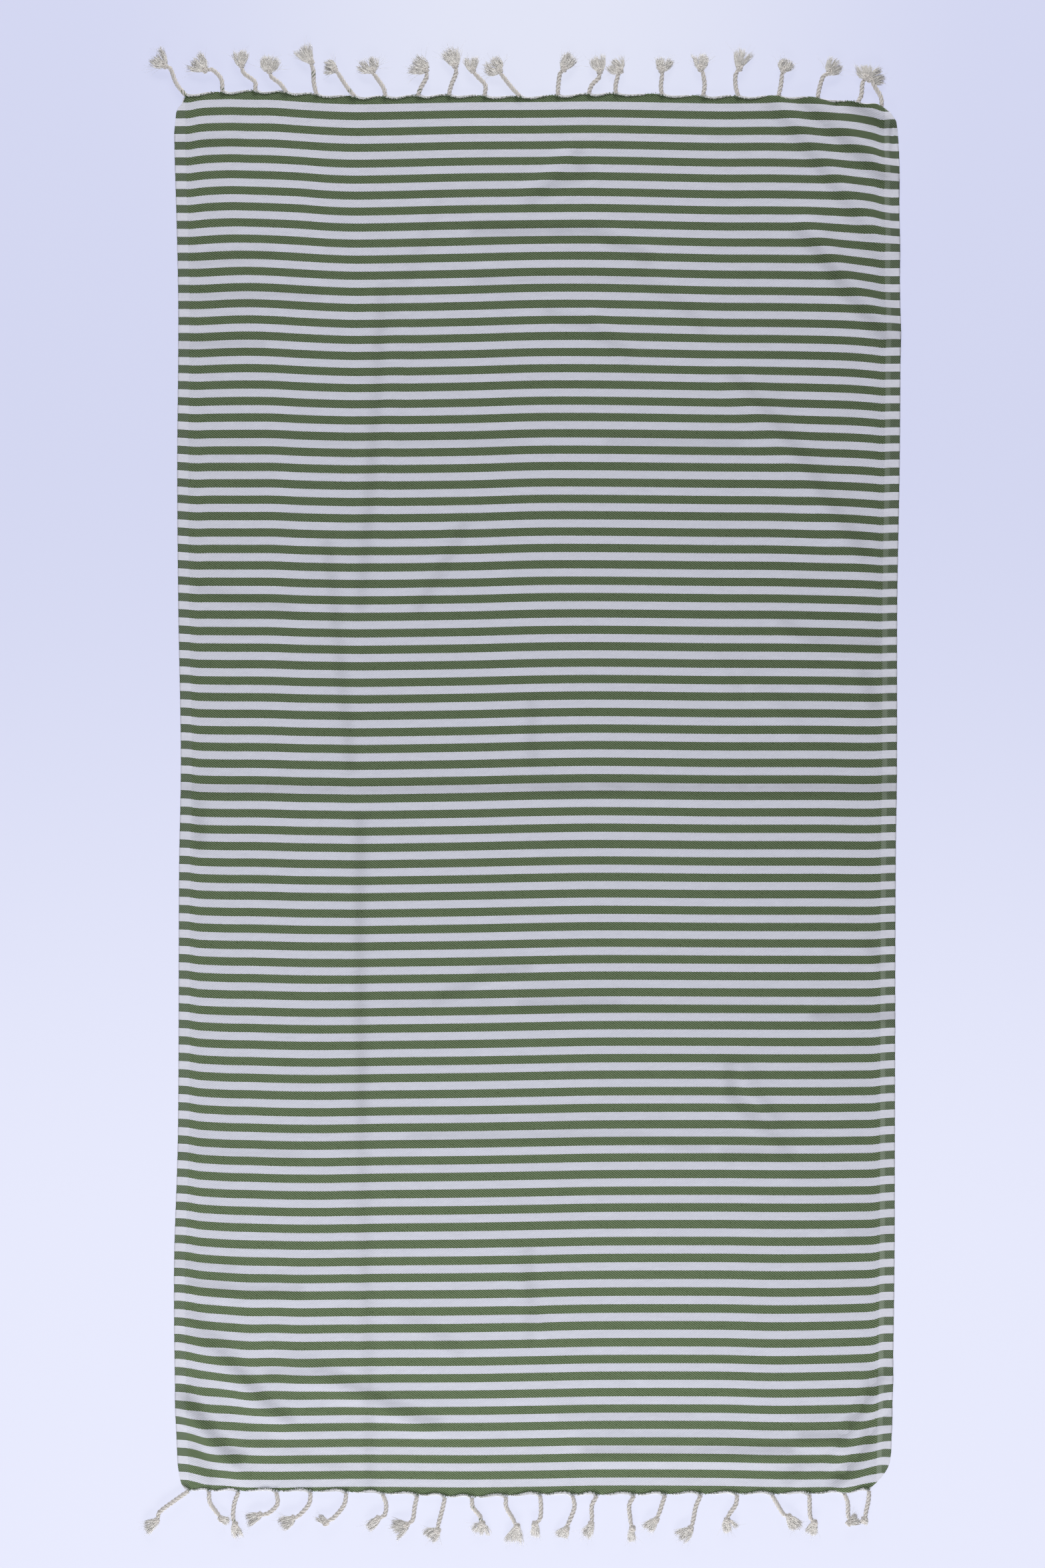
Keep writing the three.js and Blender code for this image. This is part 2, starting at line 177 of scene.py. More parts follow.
# %% Tassel tables
COLUMNS = "root x1 out1 x2 out2 knot_x knot_out turn length spread".split()
FAR_TASSELS = [
    (-444, -11, 15, -17, 32, -25, 38, -58, 22, 78),
    (-397, -1.5, 16, -10, 27, -22, 28, -44, 22, 85),
    (-356, 0, 11, -13, 20, -18, 32, -2, 21, 62),
    (-317, -7, 10, -17, 17, -22, 26, 8, 21, 95),
    (-279, -3, 15, -3, 28, -7, 40, -36, 23, 52),
    (-231, -8, 10, -18, 25, -24, 34, -70, 16, 85),
    (-192, -2, 10, -10, 22, -17, 31, -25, 20, 115),
    (-151, 4, 10, 11, 21, 11, 32, -62, 23, 72),
    (-112, 3, 12, 9, 25, 9, 37, -28, 24, 50),
    (-67, 1, 13, -6, 21, -16, 31, -5, 20, 50),
    (-23, -9, 10, -18, 21, -26, 31, -42, 21, 100),
    (25, 1, 14, 2, 25, 7, 33, 28, 22, 58),
    (64, 4, 11, 12, 18, 15, 28, -20, 22, 55),
    (98, 0, 10, 2, 19, 5, 28, -45, 17, 105),
    (156, -1, 10, 0, 20, 1, 30, 0, 18, 80),
    (208, 2, 12, 1, 23, -2, 34, -5, 20, 72),
    (252, -3, 13, -4, 24, 1, 35, 12, 25, 36),
    (303, 3, 14, 4, 24, 5, 33, 30, 18, 90),
    (352, 3, 15, 6, 27, 16, 32, 32, 20, 100),
    (403, 4, 8, 5, 22, 9, 31, -8, 18, 90),
    (433, -1, 12, -8, 24, -14, 34, 66, 20, 70),
]
NEAR_TASSELS = [
    (-440, -18, 13, -36, 25, -39, 38, -61, 20, 35),
    (-414, 1, 13, 8, 24, 16, 33, 58, 12, 35),
    (-377, -5, 14, -7, 27, -5, 41, 15, 17, 38),
    (-329, 1, 15, -7, 25, -21, 29, -72, 19, 42),
    (-286, -2, 14, -12, 27, -22, 33, -62, 20, 60),
    (-241, -3, 15, -14, 30, -26, 36, -125, 13, 30),
    (-195, 4, 13, 4, 24, -6, 31, -50, 19, 42),
    (-152, -3, 13, -4, 28, -13, 37, -78, 20, 65),
    (-117, -3, 14, -7, 29, -10, 41, -45, 18, 85),
    (-83, 1, 11, 10, 21, 12, 32, -10, 16, 100),
    (-40, 0, 12, 8, 26, 13, 37, -8, 22, 42),
    (3, 1, 15, 1, 27, -6, 36, -5, 18, 28),
    (44, 2, 14, -3, 29, -9, 41, -28, 15, 60),
    (74, -6, 12, -6, 26, -6, 35, -30, 20, 35),
    (121, -6, 12, -5, 27, -3, 41, -3, 17, 22),
    (160, -4, 12, -7, 22, -12, 30, -40, 19, 46),
    (205, -6, 14, -9, 29, -12, 42, -45, 20, 52),
    (251, -2, 12, -9, 22, -14, 31, 20, 18, 62),
    (295, 6, 11, 12, 22, 21, 28, 40, 20, 48),
    (342, 0, 13, 0, 26, 5, 35, -12, 17, 45),
    (386, 4, 12, 4, 24, 6, 36, 115, 14, 55),
    (417, -1, 13, -4, 25, -5, 36, -25, 8, 60),
]
# out is the way out along y, and gap is how far beyond the weft the cords begin.
FAR = {"name": "far", "out": 1, "line": FAR_EDGE, "gap": 0, "seed": 21}
NEAR = {"name": "near", "out": -1, "line": NEAR_EDGE, "gap": NEAR_SHORT * MM, "seed": 22}
for end, rows in ((FAR, FAR_TASSELS), (NEAR, NEAR_TASSELS)):
    end["tassels"] = [dict(zip(COLUMNS, row)) for row in rows]
    end["roots"] = np.array([row[0] for row in rows]) * MM
    print(end["name"], "end has", len(rows), "tassels")

# %% [markdown]
# Between two tassels the edge isn't straight. The yarns that run sideways into a cord pull the weft
# in beside its root, and the cloth swells again before the next root. A sine wave from each root to
# the next gives that rhythm, and it keeps step however unevenly the roots are spaced.

# %% The drawn-in ends
SCALLOP = 1.6 * MM
SCALLOP_PHASE = 0.55


def scallop(end, x):
    """How far a cloth end swells out at x, in metres."""
    roots = end["roots"]
    i = np.clip(np.searchsorted(roots, x, side="right") - 1, 0, len(roots) - 2)
    share = (x - roots[i]) / (roots[i + 1] - roots[i])
    inside = (share >= 0) & (share <= 1)
    turned = share if end["out"] > 0 else 1 - share
    return np.where(inside, SCALLOP * np.sin(2 * np.pi * (turned - SCALLOP_PHASE)), 0)


def end_line(end, x):
    """The y of a cloth end at x, in metres."""
    x = np.atleast_1d(x)
    return plain_end(end["line"], x) + end["out"] * scallop(end, x)


print("the ends swell out and draw in by", round(SCALLOP / MM, 1), "mm")

# %% [markdown]
# ## Creases
#
# Near the corners the pull of the tassels lifts the cloth in slanting ripples, and a few low ridges
# cross the middle. Cloth simulation could drape a sheet, but not these particular creases, so each
# one is listed: a soft ridge from one point to another.

# %% Creases, in millimetres: from x and y, to x and y, height, half width
RIDGES = [
    ("far right corner, inner", 292, 884, 462, 668, 7.2, 34),
    ("far right corner, outer", 326, 882, 456, 764, 6.6, 30),
    ("far right corner, outermost", 392, 886, 462, 838, 4.6, 20),
    ("far right selvedge, turned up", 441, 856, 440, 766, 1.6, 6),
    ("far right side, sharp", 328, 728, 462, 556, 8.0, 36),
    ("far right, long and soft", 236, 540, 420, 270, 5.0, 46),
    ("right, above the middle", 225, 182, 336, 62, 2.5, 29),
    ("far left, running inwards", -168, 610, -220, 240, 2.3, 32),
    ("left of the middle, short", -88, 356, -152, 226, 2.5, 24),
    ("far middle, short", 50, 818, -14, 742, 2.2, 24),
    ("far middle, second", 60, 618, 114, 540, 2.2, 24),
    ("left quarter fold", -222, -44, -222, -750, 1.6, 22),
    ("right side, short", 245, -330, 300, -440, 2.9, 26),
    ("near middle, short", -24, -596, 4, -680, 2.2, 22),
    ("near left corner, outer", -452, -762, -368, -868, 5.8, 27),
    ("near left corner, inner", -440, -678, -312, -800, 5.0, 29),
    ("near left, running inwards", -310, -712, -130, -800, 2.8, 30),
    ("near right corner, inner", 450, -718, 370, -846, 5.4, 26),
    ("near right corner, outer", 448, -775, 372, -884, 5.0, 24),
    ("near right, along the end", 60, -812, 330, -832, 1.2, 29),
]
STEEP_SHARE = 0.6
RISES_OVER = (-0.1, 0.2)
SINKS_OVER = (0.8, 1.1)


def ridge_height(x, y, row):
    """The height of one crease at points x and y, in metres."""
    _, x0, y0, x1, y1, height, half = row
    x0, y0, x1, y1 = x0 * MM, y0 * MM, x1 * MM, y1 * MM
    length = math.hypot(x1 - x0, y1 - y0)
    share = ((x - x0) * (x1 - x0) + (y - y0) * (y1 - y0)) / length**2
    away = ((x - x0) * (y1 - y0) - (y - y0) * (x1 - x0)) / length
    # The side that faces the towel's middle is the steeper one.
    middle = math.copysign(1, y0 * (x1 - x0) - x0 * (y1 - y0))
    width = np.where(away * middle > 0, STEEP_SHARE, 1) * half * MM
    fade = smooth(share, *RISES_OVER) * (1 - smooth(share, *SINKS_OVER))
    return height * MM * (1 - smooth(np.abs(away) / width, 0, 1)) * fade


def relief(x, y):
    """How high the ridges lift the cloth off the floor at points x and y, in metres."""
    return np.max([ridge_height(x, y, row) for row in RIDGES], axis=0)


print(len(RIDGES), "ridges, the highest", max(row[5] for row in RIDGES), "mm")

# %% [markdown]
# ## Pressed folds
#
# Long storage and a few careless moments have also left folds in the cloth. Such a fold is a
# narrow groove between two low rims. The shade in the groove is too narrow for the grid to carry,
# so it is painted into the colour as a darker line. Each row says by how many percent, and where the
# fold runs. The rims go into the shape, and the painted shade is kept as a value at every point, for
# the finish to use.

# %% Pressed folds: painted shade in percent, and the points that each runs through, in millimetres
PRESSED = [
    ("across the middle, left", 14, [(-470, 8), (-210, 8), (20, 10)]),
    ("across the middle, right", 18, [(-20, 10), (200, 11), (470, 9)]),
    ("left quarter, near half", 15, [(-224, -15), (-224, -200), (-221, -430)]),
    ("left quarter, near end", 9, [(-222, -390), (-216, -640), (-211, -900)]),
    ("left quarter, far half", 11, [(-194, 650), (-201, 560), (-208, 437), (-224, 225)]),
    ("left quarter, branch", 11, [(-268, 330), (-256, 230), (-248, 145), (-234, 20)]),
    ("left selvedge, below the fold", 14, [(-428, 4), (-427, -78)]),
    ("right selvedge, above the fold", 12, [(406, 166), (430, 100)]),
    ("right selvedge, below the fold", 11, [(410, -174), (440, -220)]),
    ("left quarter, inner branch", 5, [(-206, 560), (-160, 660), (-120, 765)]),
    ("middle, above the fold", 9, [(-8, 130), (-5, 25)]),
    ("middle, near end", 9, [(-13, -560), (-9, -700)]),
    ("far middle, upper", 15, [(-92, 710), (72, 708), (150, 668)]),
    ("far middle, lower", 8, [(-92, 648), (130, 650), (188, 610), (216, 572)]),
    ("far middle, hook", 11, [(47, 822), (59, 778), (26, 768), (-22, 744)]),
    ("far middle, second", 9, [(0, 612), (56, 592), (124, 548)]),
    ("far right, long and soft", 10, [(236, 538), (286, 486), (330, 432), (374, 362), (420, 292)]),
    ("far right side, sharp", 15, [(316, 716), (347, 689), (397, 622), (446, 562)]),
    ("far right corner, inner", 8, [(280, 880), (331, 826), (382, 749), (444, 645)]),
    ("far right corner, outer", 17, [(326, 882), (362, 846), (405, 805), (446, 768)]),
    ("far right corner, outermost", 22, [(386, 880), (423, 844), (456, 830)]),
    ("across the far quarter", 5, [(-470, 447), (-200, 445), (0, 446)]),
    ("across the far quarter, right", 9, [(76, 443), (265, 443)]),
    ("far left side, first", 8, [(-470, 819), (-365, 819)]),
    ("far left side, second", 7, [(-470, 668), (-325, 682)]),
    ("far left side, third", 8, [(-470, 630), (-265, 630)]),
    ("far left side, fourth", 9, [(-470, 567), (-335, 567)]),
    ("left side, above the middle", 9, [(-440, 262), (-300, 232)]),
    ("left of the middle, short", 11, [(-86, 352), (-120, 285), (-158, 222)]),
    ("right, above the middle", 6, [(222, 192), (262, 118)]),
    ("right side, above the middle", 12, [(298, 226), (347, 195), (440, 189)]),
    ("below the middle, left", 5, [(-200, -262), (0, -262)]),
    ("below the middle", 14, [(-35, -262), (112, -262)]),
    ("below the middle, right", 5, [(90, -263), (345, -266)]),
    ("below the middle, side", 18, [(335, -276), (470, -278)]),
    ("below the middle, slanting", 11, [(-142, -267), (-97, -243), (-66, -222), (0, -215)]),
    ("right side, short", 16, [(240, -322), (245, -376), (282, -415), (326, -460)]),
    ("right side, across", 12, [(222, -451), (330, -452)]),
    ("across the near quarter", 8, [(-172, -428), (117, -428), (225, -444)]),
    ("across the near quarter, left", 7, [(-470, -449), (-285, -452)]),
    ("near left side, upper", 8, [(-470, -588), (-372, -590)]),
    ("near left side, lower", 12, [(-450, -612), (-384, -622), (-288, -624)]),
    ("near left, short", 8, [(-182, -656), (-138, -664), (-90, -710)]),
    ("near left, running inwards", 12, [(-350, -727), (-265, -727), (-179, -770), (-115, -794)]),
    ("near left corner, inner", 10, [(-446, -642), (-397, -690), (-344, -763), (-300, -790)]),
    ("near left corner, outer", 22, [(-450, -740), (-425, -778), (-392, -824), (-360, -836)]),
    ("near left corner, outermost", 14, [(-440, -812), (-405, -872)]),
    ("near left corner, along it", 6, [(-375, -800), (-236, -850)]),
    ("near right side", 10, [(380, -552), (470, -546)]),
    ("near right, along the end", 15, [(48, -824), (204, -825), (330, -824)]),
    ("near right, above it", 5, [(15, -780), (205, -780)]),
    ("near right corner, inner", 19, [(432, -720), (401, -781), (383, -805), (318, -806)]),
    ("near right corner, outer", 19, [(422, -785), (414, -822), (364, -876)]),
    ("near right corner, short", 12, [(336, -828), (308, -876)]),
]
GROOVE_HALF = 15 * MM
RIM_PLACE = 13 * MM
RIM_FROM = 0.2 * RIM_PLACE
RIM_TO = 2.2 * RIM_PLACE
RIM_PER_PERCENT = 0.07 * MM
FOLD_FADE = 15 * MM


def beside_fold(x, y, corners):
    """How far points x and y lie from a fold, and how much of it is there, from 0 to 1."""
    corners = np.array(corners) * MM
    nearest = np.full(len(x), np.inf)
    place = np.zeros(len(x))
    total = 0
    for (x0, y0), (x1, y1) in zip(corners, corners[1:]):
        length = math.hypot(x1 - x0, y1 - y0)
        share = np.clip(((x - x0) * (x1 - x0) + (y - y0) * (y1 - y0)) / length**2, 0, 1)
        away = np.hypot(x - x0 - share * (x1 - x0), y - y0 - share * (y1 - y0))
        place = np.where(away < nearest, total + share * length, place)
        nearest = np.minimum(away, nearest)
        total += length
    return nearest, smooth(place, 0, FOLD_FADE) * (1 - smooth(place, total - FOLD_FADE, total))


def pressed_folds(x, y):
    """How much painted shade darkens the cloth along the folds, and how high their rims stand, at x and
    y.
    """
    darker = np.zeros(len(x))
    rims = np.zeros(len(x))
    for _, percent, corners in PRESSED:
        away, fade = beside_fold(x, y, corners)
        groove = 1 - smooth(away, 0, GROOVE_HALF)
        rim = smooth(away, RIM_FROM, RIM_PLACE) * (1 - smooth(away, RIM_PLACE, RIM_TO))
        # The darker line along each fold is painted shade.
        darker = np.maximum(darker, percent / 100 * fade * groove)
        rims = np.maximum(rims, RIM_PER_PERCENT * percent * fade * rim)
    return darker, rims


print(len(PRESSED), "pressed folds")

# %% [markdown]
# ## The weft's lines
#
# The stripes are woven straight, but on the floor they bend with the cloth. One table follows eight
# of them from the left selvedge to the right, and says how far each strays up or down the towel.
# The other allows for the weft, which was beaten a little closer in the far half than in the near
# half. A point's place in the weave is then its place on the floor less both drifts.

# %% How far the stripes stray, in millimetres
DRIFT_X = np.array(
    [-452, -439, -428, -416, -388, -363, -333, -300, -262, -223]
    + [-90, -1, 78, 229, 297, 364, 397, 422, 433, 446]
)
DRIFT = {
    -857: [
        10, 9, 6.5, 3.5, 2, 0, -0.5, 0, 0.5, 1,
        0, 1, 2.5, 2, 0.5, 0.5, 2.5, 6.5, 8, 7.5,
    ],
    -735: [
        8.5, 7, 5, 3.5, 1, -1, -0.5, -1.5, -1, -0.5,
        0, 1.5, 3, 3, 1.5, 2.5, 3.5, 5, 8.5, 9,
    ],
    -481: [
        5, 4, 2, 1, -0.5, -1, -2, -2.5, -2.5, -1.5,
        0, 1.5, 3, 3.5, 3, 3, 3.5, 4, 5.5, 6.5,
    ],
    18: [
        3.5, 3, 1.5, 1, 0.5, 0.5, 0, -1, -1.5, -2,
        0, 2, 3, 1.5, 1.5, 1.5, 1, 1, 1.5, 2,
    ],
    390: [
        2.5, 1.5, 1, 1.5, 1.5, 1.5, 1.5, 0, -1, -1.5,
        0, 2.5, 2.5, 1, 0.5, -1.5, -2.5, -4, -5, -4.5,
    ],
    636: [
        1, 1, 1, 1.5, 3, 3.5, 2.5, 0.5, -1.5, -2.5,
        0, 2.5, 2.5, -1, -1.5, -2.5, -4, -6.5, -8, -8.5,
    ],
    758: [
        0.2, 0.2, 1.5, 2.8, 4, 3.5, 2.5, 1, -2, -3,
        0, 1, 1.5, -1.5, -1.5, -3, -5, -7, -9.5, -11,
    ],
    856: [
        -0.5, 0, 2.3, 3.5, 4.2, 3.6, 3.2, 0.8, -1.5, -2.5,
        0, 0.5, 1.2, -1.5, -1.2, -4.5, -5.5, -9.5, -13.5, -14,
    ],
}
BEATEN = [
    (-878, 0), (-857, -0.5), (-735, -1.8), (-608, 1.3), (-481, 4.2), (-231, 6.8), (18, 7.7),
    (143, 9), (390, 9.1), (514, 8.7), (636, 6.6), (759, 4.4), (877, 0),
]


def weft_drift(x, y):
    """How far the weft has strayed towards the far end at points x and y, in metres."""
    beaten = through([row[0] * MM for row in BEATEN], [row[1] * MM for row in BEATEN], y)
    rows = [through(DRIFT_X * MM, np.array(row) * MM, x) for row in DRIFT.values()]
    places = np.array(list(DRIFT)) * MM
    i = np.clip(np.searchsorted(places, y) - 1, 0, len(places) - 2)
    t = smooth((y - places[i]) / (places[i + 1] - places[i]), 0, 1)
    rows = np.array(rows)
    picked = np.arange(len(x))
    return beaten + rows[i, picked] * (1 - t) + rows[i + 1, picked] * t


print("stripes stray by up to", max(abs(stray) for row in DRIFT.values() for stray in row), "mm")

# %% [markdown]
# ## The cloth
#
# The cloth is one sheet of twill, a little over a millimetre thick. It could be a plane with a
# Solidify modifier, but then both faces would be equally fine. Only the upper face shows the
# creases from close by, so the underside takes every fourth line of the same grid.

# %% Places for the grid's lines
CLOTH_WALL = 1.2 * MM
CLOTH_WIDTH = 0.908
CLOTH_LENGTH = 1.765
STRIPE_PITCH = 20.64 * MM
GRID_SPACING = 4.7 * MM
EDGE_SPACING = 2.4 * MM
FINE_EDGE = 20 * MM
UNDER_STEP = 4


def lines_over(length):
    """Shares from 0 to 1 along a length, closer together near both ends."""
    edge = np.arange(0, FINE_EDGE, EDGE_SPACING)
    steps = round((length - 2 * FINE_EDGE) / GRID_SPACING)
    steps += (1 - 2 * len(edge) - steps) % UNDER_STEP
    inner = np.linspace(FINE_EDGE, length - FINE_EDGE, steps)
    return np.concatenate([edge, inner, length - edge[::-1]]) / length


ACROSS = lines_over(CLOTH_WIDTH)
ALONG = lines_over(CLOTH_LENGTH)
print("grid of", len(ACROSS), "columns and", len(ALONG), "rows")


# %% Grid points of the cloth
SIDE_SCALLOP = 0.4 * MM
SIDE_BAND = 4 * MM
END_FADE = 9 * MM


def cloth_grid():
    """The x, y and weave coordinates of every point of the grid, row by row."""
    near_x = NEAR_END[0, 0] + ACROSS * (NEAR_END[-1, 0] - NEAR_END[0, 0])
    far_x = FAR_END[0, 0] + ACROSS * (FAR_END[-1, 0] - FAR_END[0, 0])
    near_y = plain_end(NEAR_EDGE, near_x * MM)
    far_y = plain_end(FAR_EDGE, far_x * MM)
    y = near_y[None, :] + ALONG[:, None] * (far_y - near_y)[None, :]
    left, right = selvedges(y.ravel())
    across = np.tile(ACROSS, len(ALONG))
    x = left + across * (right - left)
    y = y.ravel()
    from_near = np.repeat(ALONG, len(ACROSS)) * CLOTH_LENGTH
    from_far = CLOTH_LENGTH - from_near
    y += scallop(FAR, x) * (1 - smooth(from_far, 0, END_FADE))
    y -= scallop(NEAR, x) * (1 - smooth(from_near, 0, END_FADE))
    woven_y = y - weft_drift(x, y)
    stripe = np.cos(2 * np.pi * woven_y / STRIPE_PITCH)
    edge = 1 - smooth(np.minimum(across, 1 - across) * CLOTH_WIDTH, 0, SIDE_BAND)
    x += np.where(across < 0.5, -1, 1) * edge * stripe * SIDE_SCALLOP / 2
    return x, y, across * CLOTH_WIDTH, woven_y


print("grid of", len(cloth_grid()[0]), "points")


# %% A new piece
def new_piece(name, points, faces, uv_points):
    """A smooth mesh object from points and faces, with a weave coordinate at every point."""
    mesh = bpy.data.meshes.new(name)
    mesh.from_pydata([tuple(p) for p in points], [], [tuple(f) for f in faces])
    layer = mesh.uv_layers.new(name="weave")
    corner_points = np.empty(len(mesh.loops), dtype=np.int64)
    mesh.loops.foreach_get("vertex_index", corner_points)
    layer.data.foreach_set("uv", np.asarray(uv_points, float)[corner_points].ravel())
    mesh.polygons.foreach_set("use_smooth", [True] * len(mesh.polygons))
    piece = bpy.data.objects.new(name, mesh)
    bpy.context.scene.collection.objects.link(piece)
    return piece


# %% [markdown]
# The upper face takes every point of the grid. The underside takes every fourth line, and its faces
# along the rim also take in the points between, so that the two faces meet without a gap.

# %% Mesh of the cloth
def under_faces(index):
    """Coarse faces of the underside. Those at the rim take in every point of the rim."""
    last_row, last_column = index.shape[0] - 1, index.shape[1] - 1
    faces = []
    for r in range(0, last_row, UNDER_STEP):
        for c in range(0, last_column, UNDER_STEP):
            r1, c1 = r + UNDER_STEP, c + UNDER_STEP
            low = index[r, c:c1] if r == 0 else index[r, c:c1:UNDER_STEP]
            right = index[r:r1, c1] if c1 == last_column else index[r:r1:UNDER_STEP, c1]
            high = index[r1, c1:c:-1] if r1 == last_row else index[r1, c1:c:-UNDER_STEP]
            left = index[r1:r:-1, c] if c == 0 else index[r1:r:-UNDER_STEP, c]
            faces.append([*low, *right, *high, *left][::-1])
    return faces


def make_cloth():
    """The towel's cloth as one closed thin sheet."""
    x, y, u, v = cloth_grid()
    columns, rows = len(ACROSS), len(ALONG)
    darker, rims = pressed_folds(x, y)
    under = np.stack([x, y, relief(x, y) + rims], axis=1)
    top = under + [0, 0, CLOTH_WALL]

    # The upper face.
    index = np.arange(columns * rows).reshape(rows, columns)
    a, b = index[:-1, :-1].ravel(), index[:-1, 1:].ravel()
    c, d = index[1:, 1:].ravel(), index[1:, :-1].ravel()
    faces = np.stack([a, b, c, d], axis=1).tolist()

    # Only the rim and every fourth line of the underside are kept.
    rim = np.concatenate([index[0], index[1:, -1], index[-1, -2::-1], index[-2:0:-1, 0]])
    kept = np.zeros((rows, columns), bool)
    kept[::UNDER_STEP, ::UNDER_STEP] = True
    kept.ravel()[rim] = True
    kept = np.flatnonzero(kept)
    lower = np.full(columns * rows, -1)
    lower[kept] = columns * rows + np.arange(len(kept))

    # A narrow wall joins the two faces round the rim.
    ahead = np.roll(rim, -1)
    faces += np.stack([lower[rim], lower[ahead], ahead, rim], axis=1).tolist()
    faces += [[int(lower[i]) for i in face] for face in under_faces(index)]

    points = np.concatenate([top, under[kept]])
    uv = np.stack([u, v], axis=1)
    piece = new_piece("towel_cloth", points, faces, np.concatenate([uv, uv[kept]]))
    # The painted shade of the folds is kept at every point, for the finish.
    layer = piece.data.attributes.new("fold_shade", "FLOAT", "POINT")
    layer.data.foreach_set("value", np.concatenate([darker, darker[kept]]))
    return piece


cloth = make_cloth()
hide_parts("cloth")
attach(cloth, "root")
cloth.data.calc_loop_triangles()
print("cloth has", len(cloth.data.loop_triangles), "triangles")

# %% [markdown]
# ## Wiring a finish
#
# A finish is worked out from the weave coordinates: u runs across the towel and v along it, both in
# metres of cloth. Painting an image would fix its sharpness, while a formula stays sharp at every
# distance. Blender works such a formula out from nodes wired together, and a few small helpers keep
# the wiring short: for arithmetic, a soft step, a blend of two colours and soft random variation.


# %% Helpers for colours and numbers
def linear(red, green, blue):
    """A colour as the eye reads it, from 0 to 255, turned into light."""
    def channel(value):
        share = value / 255
        return share / 12.92 if share <= 0.04045 else ((share + 0.055) / 1.055) ** 2.4
    return (channel(red), channel(green), channel(blue), 1.0)


def connect(tree, value, socket):
    """Sets a socket to a number or colour, or joins it to another node's output."""
    if isinstance(value, bpy.types.NodeSocket):
        tree.links.new(value, socket)
    else:
        socket.default_value = value


def calc(tree, operation, *values):
    """One step of arithmetic on numbers or outputs."""
    node = tree.nodes.new("ShaderNodeMath")
    node.operation = operation
    for value, socket in zip(values, node.inputs):
        connect(tree, value, socket)
    return node.outputs[0]


print("a grey of 128 sends back", round(linear(128, 128, 128)[0], 3), "of the light")


# %% Helpers for steps, blends and random variation
def soft_step(tree, value, low, high):
    """0 at low and 1 at high, with a soft change between. low may be the greater of the two."""
    node = tree.nodes.new("ShaderNodeMapRange")
    node.interpolation_type = "SMOOTHSTEP"
    connect(tree, value, node.inputs["Value"])
    node.inputs["From Min"].default_value = low
    node.inputs["From Max"].default_value = high
    return node.outputs["Result"]


def blend(tree, share, first, second):
    """The first colour where share is 0, the second where it is 1."""
    node = tree.nodes.new("ShaderNodeMix")
    node.data_type = "RGBA"
    connect(tree, share, node.inputs["Factor"])
    connect(tree, first, node.inputs["A"])
    connect(tree, second, node.inputs["B"])
    return node.outputs["Result"]


def scaled(tree, colour, factor):
    """A colour made darker or lighter by a factor."""
    node = tree.nodes.new("ShaderNodeVectorMath")
    node.operation = "SCALE"
    tree.links.new(colour, node.inputs[0])
    tree.links.new(factor, node.inputs["Scale"])
    return node.outputs[0]


def noise(tree, scale_u, scale_v, detail, u, v, depth=0.0):
    """Soft random variation from 0 to 1, stretched differently along u and v."""
    place = tree.nodes.new("ShaderNodeCombineXYZ")
    connect(tree, calc(tree, "MULTIPLY", u, scale_u), place.inputs["X"])
    connect(tree, calc(tree, "MULTIPLY", v, scale_v), place.inputs["Y"])
    place.inputs["Z"].default_value = depth
    node = tree.nodes.new("ShaderNodeTexNoise")
    node.inputs["Scale"].default_value = 1
    node.inputs["Detail"].default_value = detail
    tree.links.new(place.outputs[0], node.inputs["Vector"])
    return node.outputs["Fac"]


# %% A new finish and its relief
def new_finish(name):
    """An empty finish with its shader, and the weave coordinates as u and v."""
    material = bpy.data.materials.new(name)
    material.use_nodes = True
    tree = material.node_tree
    shader = tree.nodes["Principled BSDF"]
    uv = tree.nodes.new("ShaderNodeUVMap")
    uv.uv_map = "weave"
    split = tree.nodes.new("ShaderNodeSeparateXYZ")
    tree.links.new(uv.outputs[0], split.inputs[0])
    return material, tree, shader, split.outputs["X"], split.outputs["Y"]


def emboss(tree, shader, height, strength, distance):
    """Gives a finish its fine relief, from a height that varies over the surface."""
    bump = tree.nodes.new("ShaderNodeBump")
    bump.inputs["Strength"].default_value = strength
    bump.inputs["Distance"].default_value = distance
    tree.links.new(height, bump.inputs["Height"])
    tree.links.new(bump.outputs[0], shader.inputs["Normal"])


# %% [markdown]
# ## The striped twill
#
# In a twill every weft yarn floats over a few warp yarns, and the next one is stepped to the side,
# so the floats line up in slanting ridges. In the green stripes the ridges lean to the left and show
# clearly, because the pale warp peeps through. In the white stripes both yarns are pale, so only a
# faint line shows, and it leans to the right; that line is painted shade in the grooves and painted
# highlight on the crests. The selvedges are woven finer, and show small dots.
#
# Every ridge is a wave across the cloth. The wave wobbles a little, because no yarn is quite even,
# and two waves that cross give the dots.

# %% Ridges and dots of the weave
TWILL_PITCH = 3.5 * MM
TWILL_RISE = 1.31
SELVEDGE_PITCH = 2.8 * MM
YARN_WOBBLE = 1.2 * MM


def ribs(tree, u, v, pitch, rise):
    """Slanting ridges across the cloth, from 0 in the groove to 1 on the crest."""
    slant = calc(tree, "MULTIPLY_ADD", v, rise, u)
    turns = calc(tree, "MULTIPLY", slant, 2 * math.pi / pitch)
    return calc(tree, "MULTIPLY_ADD", calc(tree, "COSINE", turns), 0.5, 0.5)


def weave_lines(tree, u, v):
    """The ridges that lean to the left, those that lean to the right, and the selvedges' dots."""
    wobble = calc(tree, "MULTIPLY_ADD", noise(tree, 60, 60, 2, u, v), YARN_WOBBLE, -YARN_WOBBLE / 2)
    woven_u = calc(tree, "ADD", u, wobble)
    leaning_left = ribs(tree, woven_u, v, TWILL_PITCH, TWILL_RISE)
    leaning_right = ribs(tree, woven_u, v, TWILL_PITCH, -TWILL_RISE)
    one_way = ribs(tree, woven_u, v, SELVEDGE_PITCH, 1)
    other_way = ribs(tree, woven_u, v, SELVEDGE_PITCH, -1)
    return leaning_left, leaning_right, calc(tree, "MULTIPLY", one_way, other_way)


print("a ridge every", round(TWILL_PITCH / MM, 2), "mm across the towel")

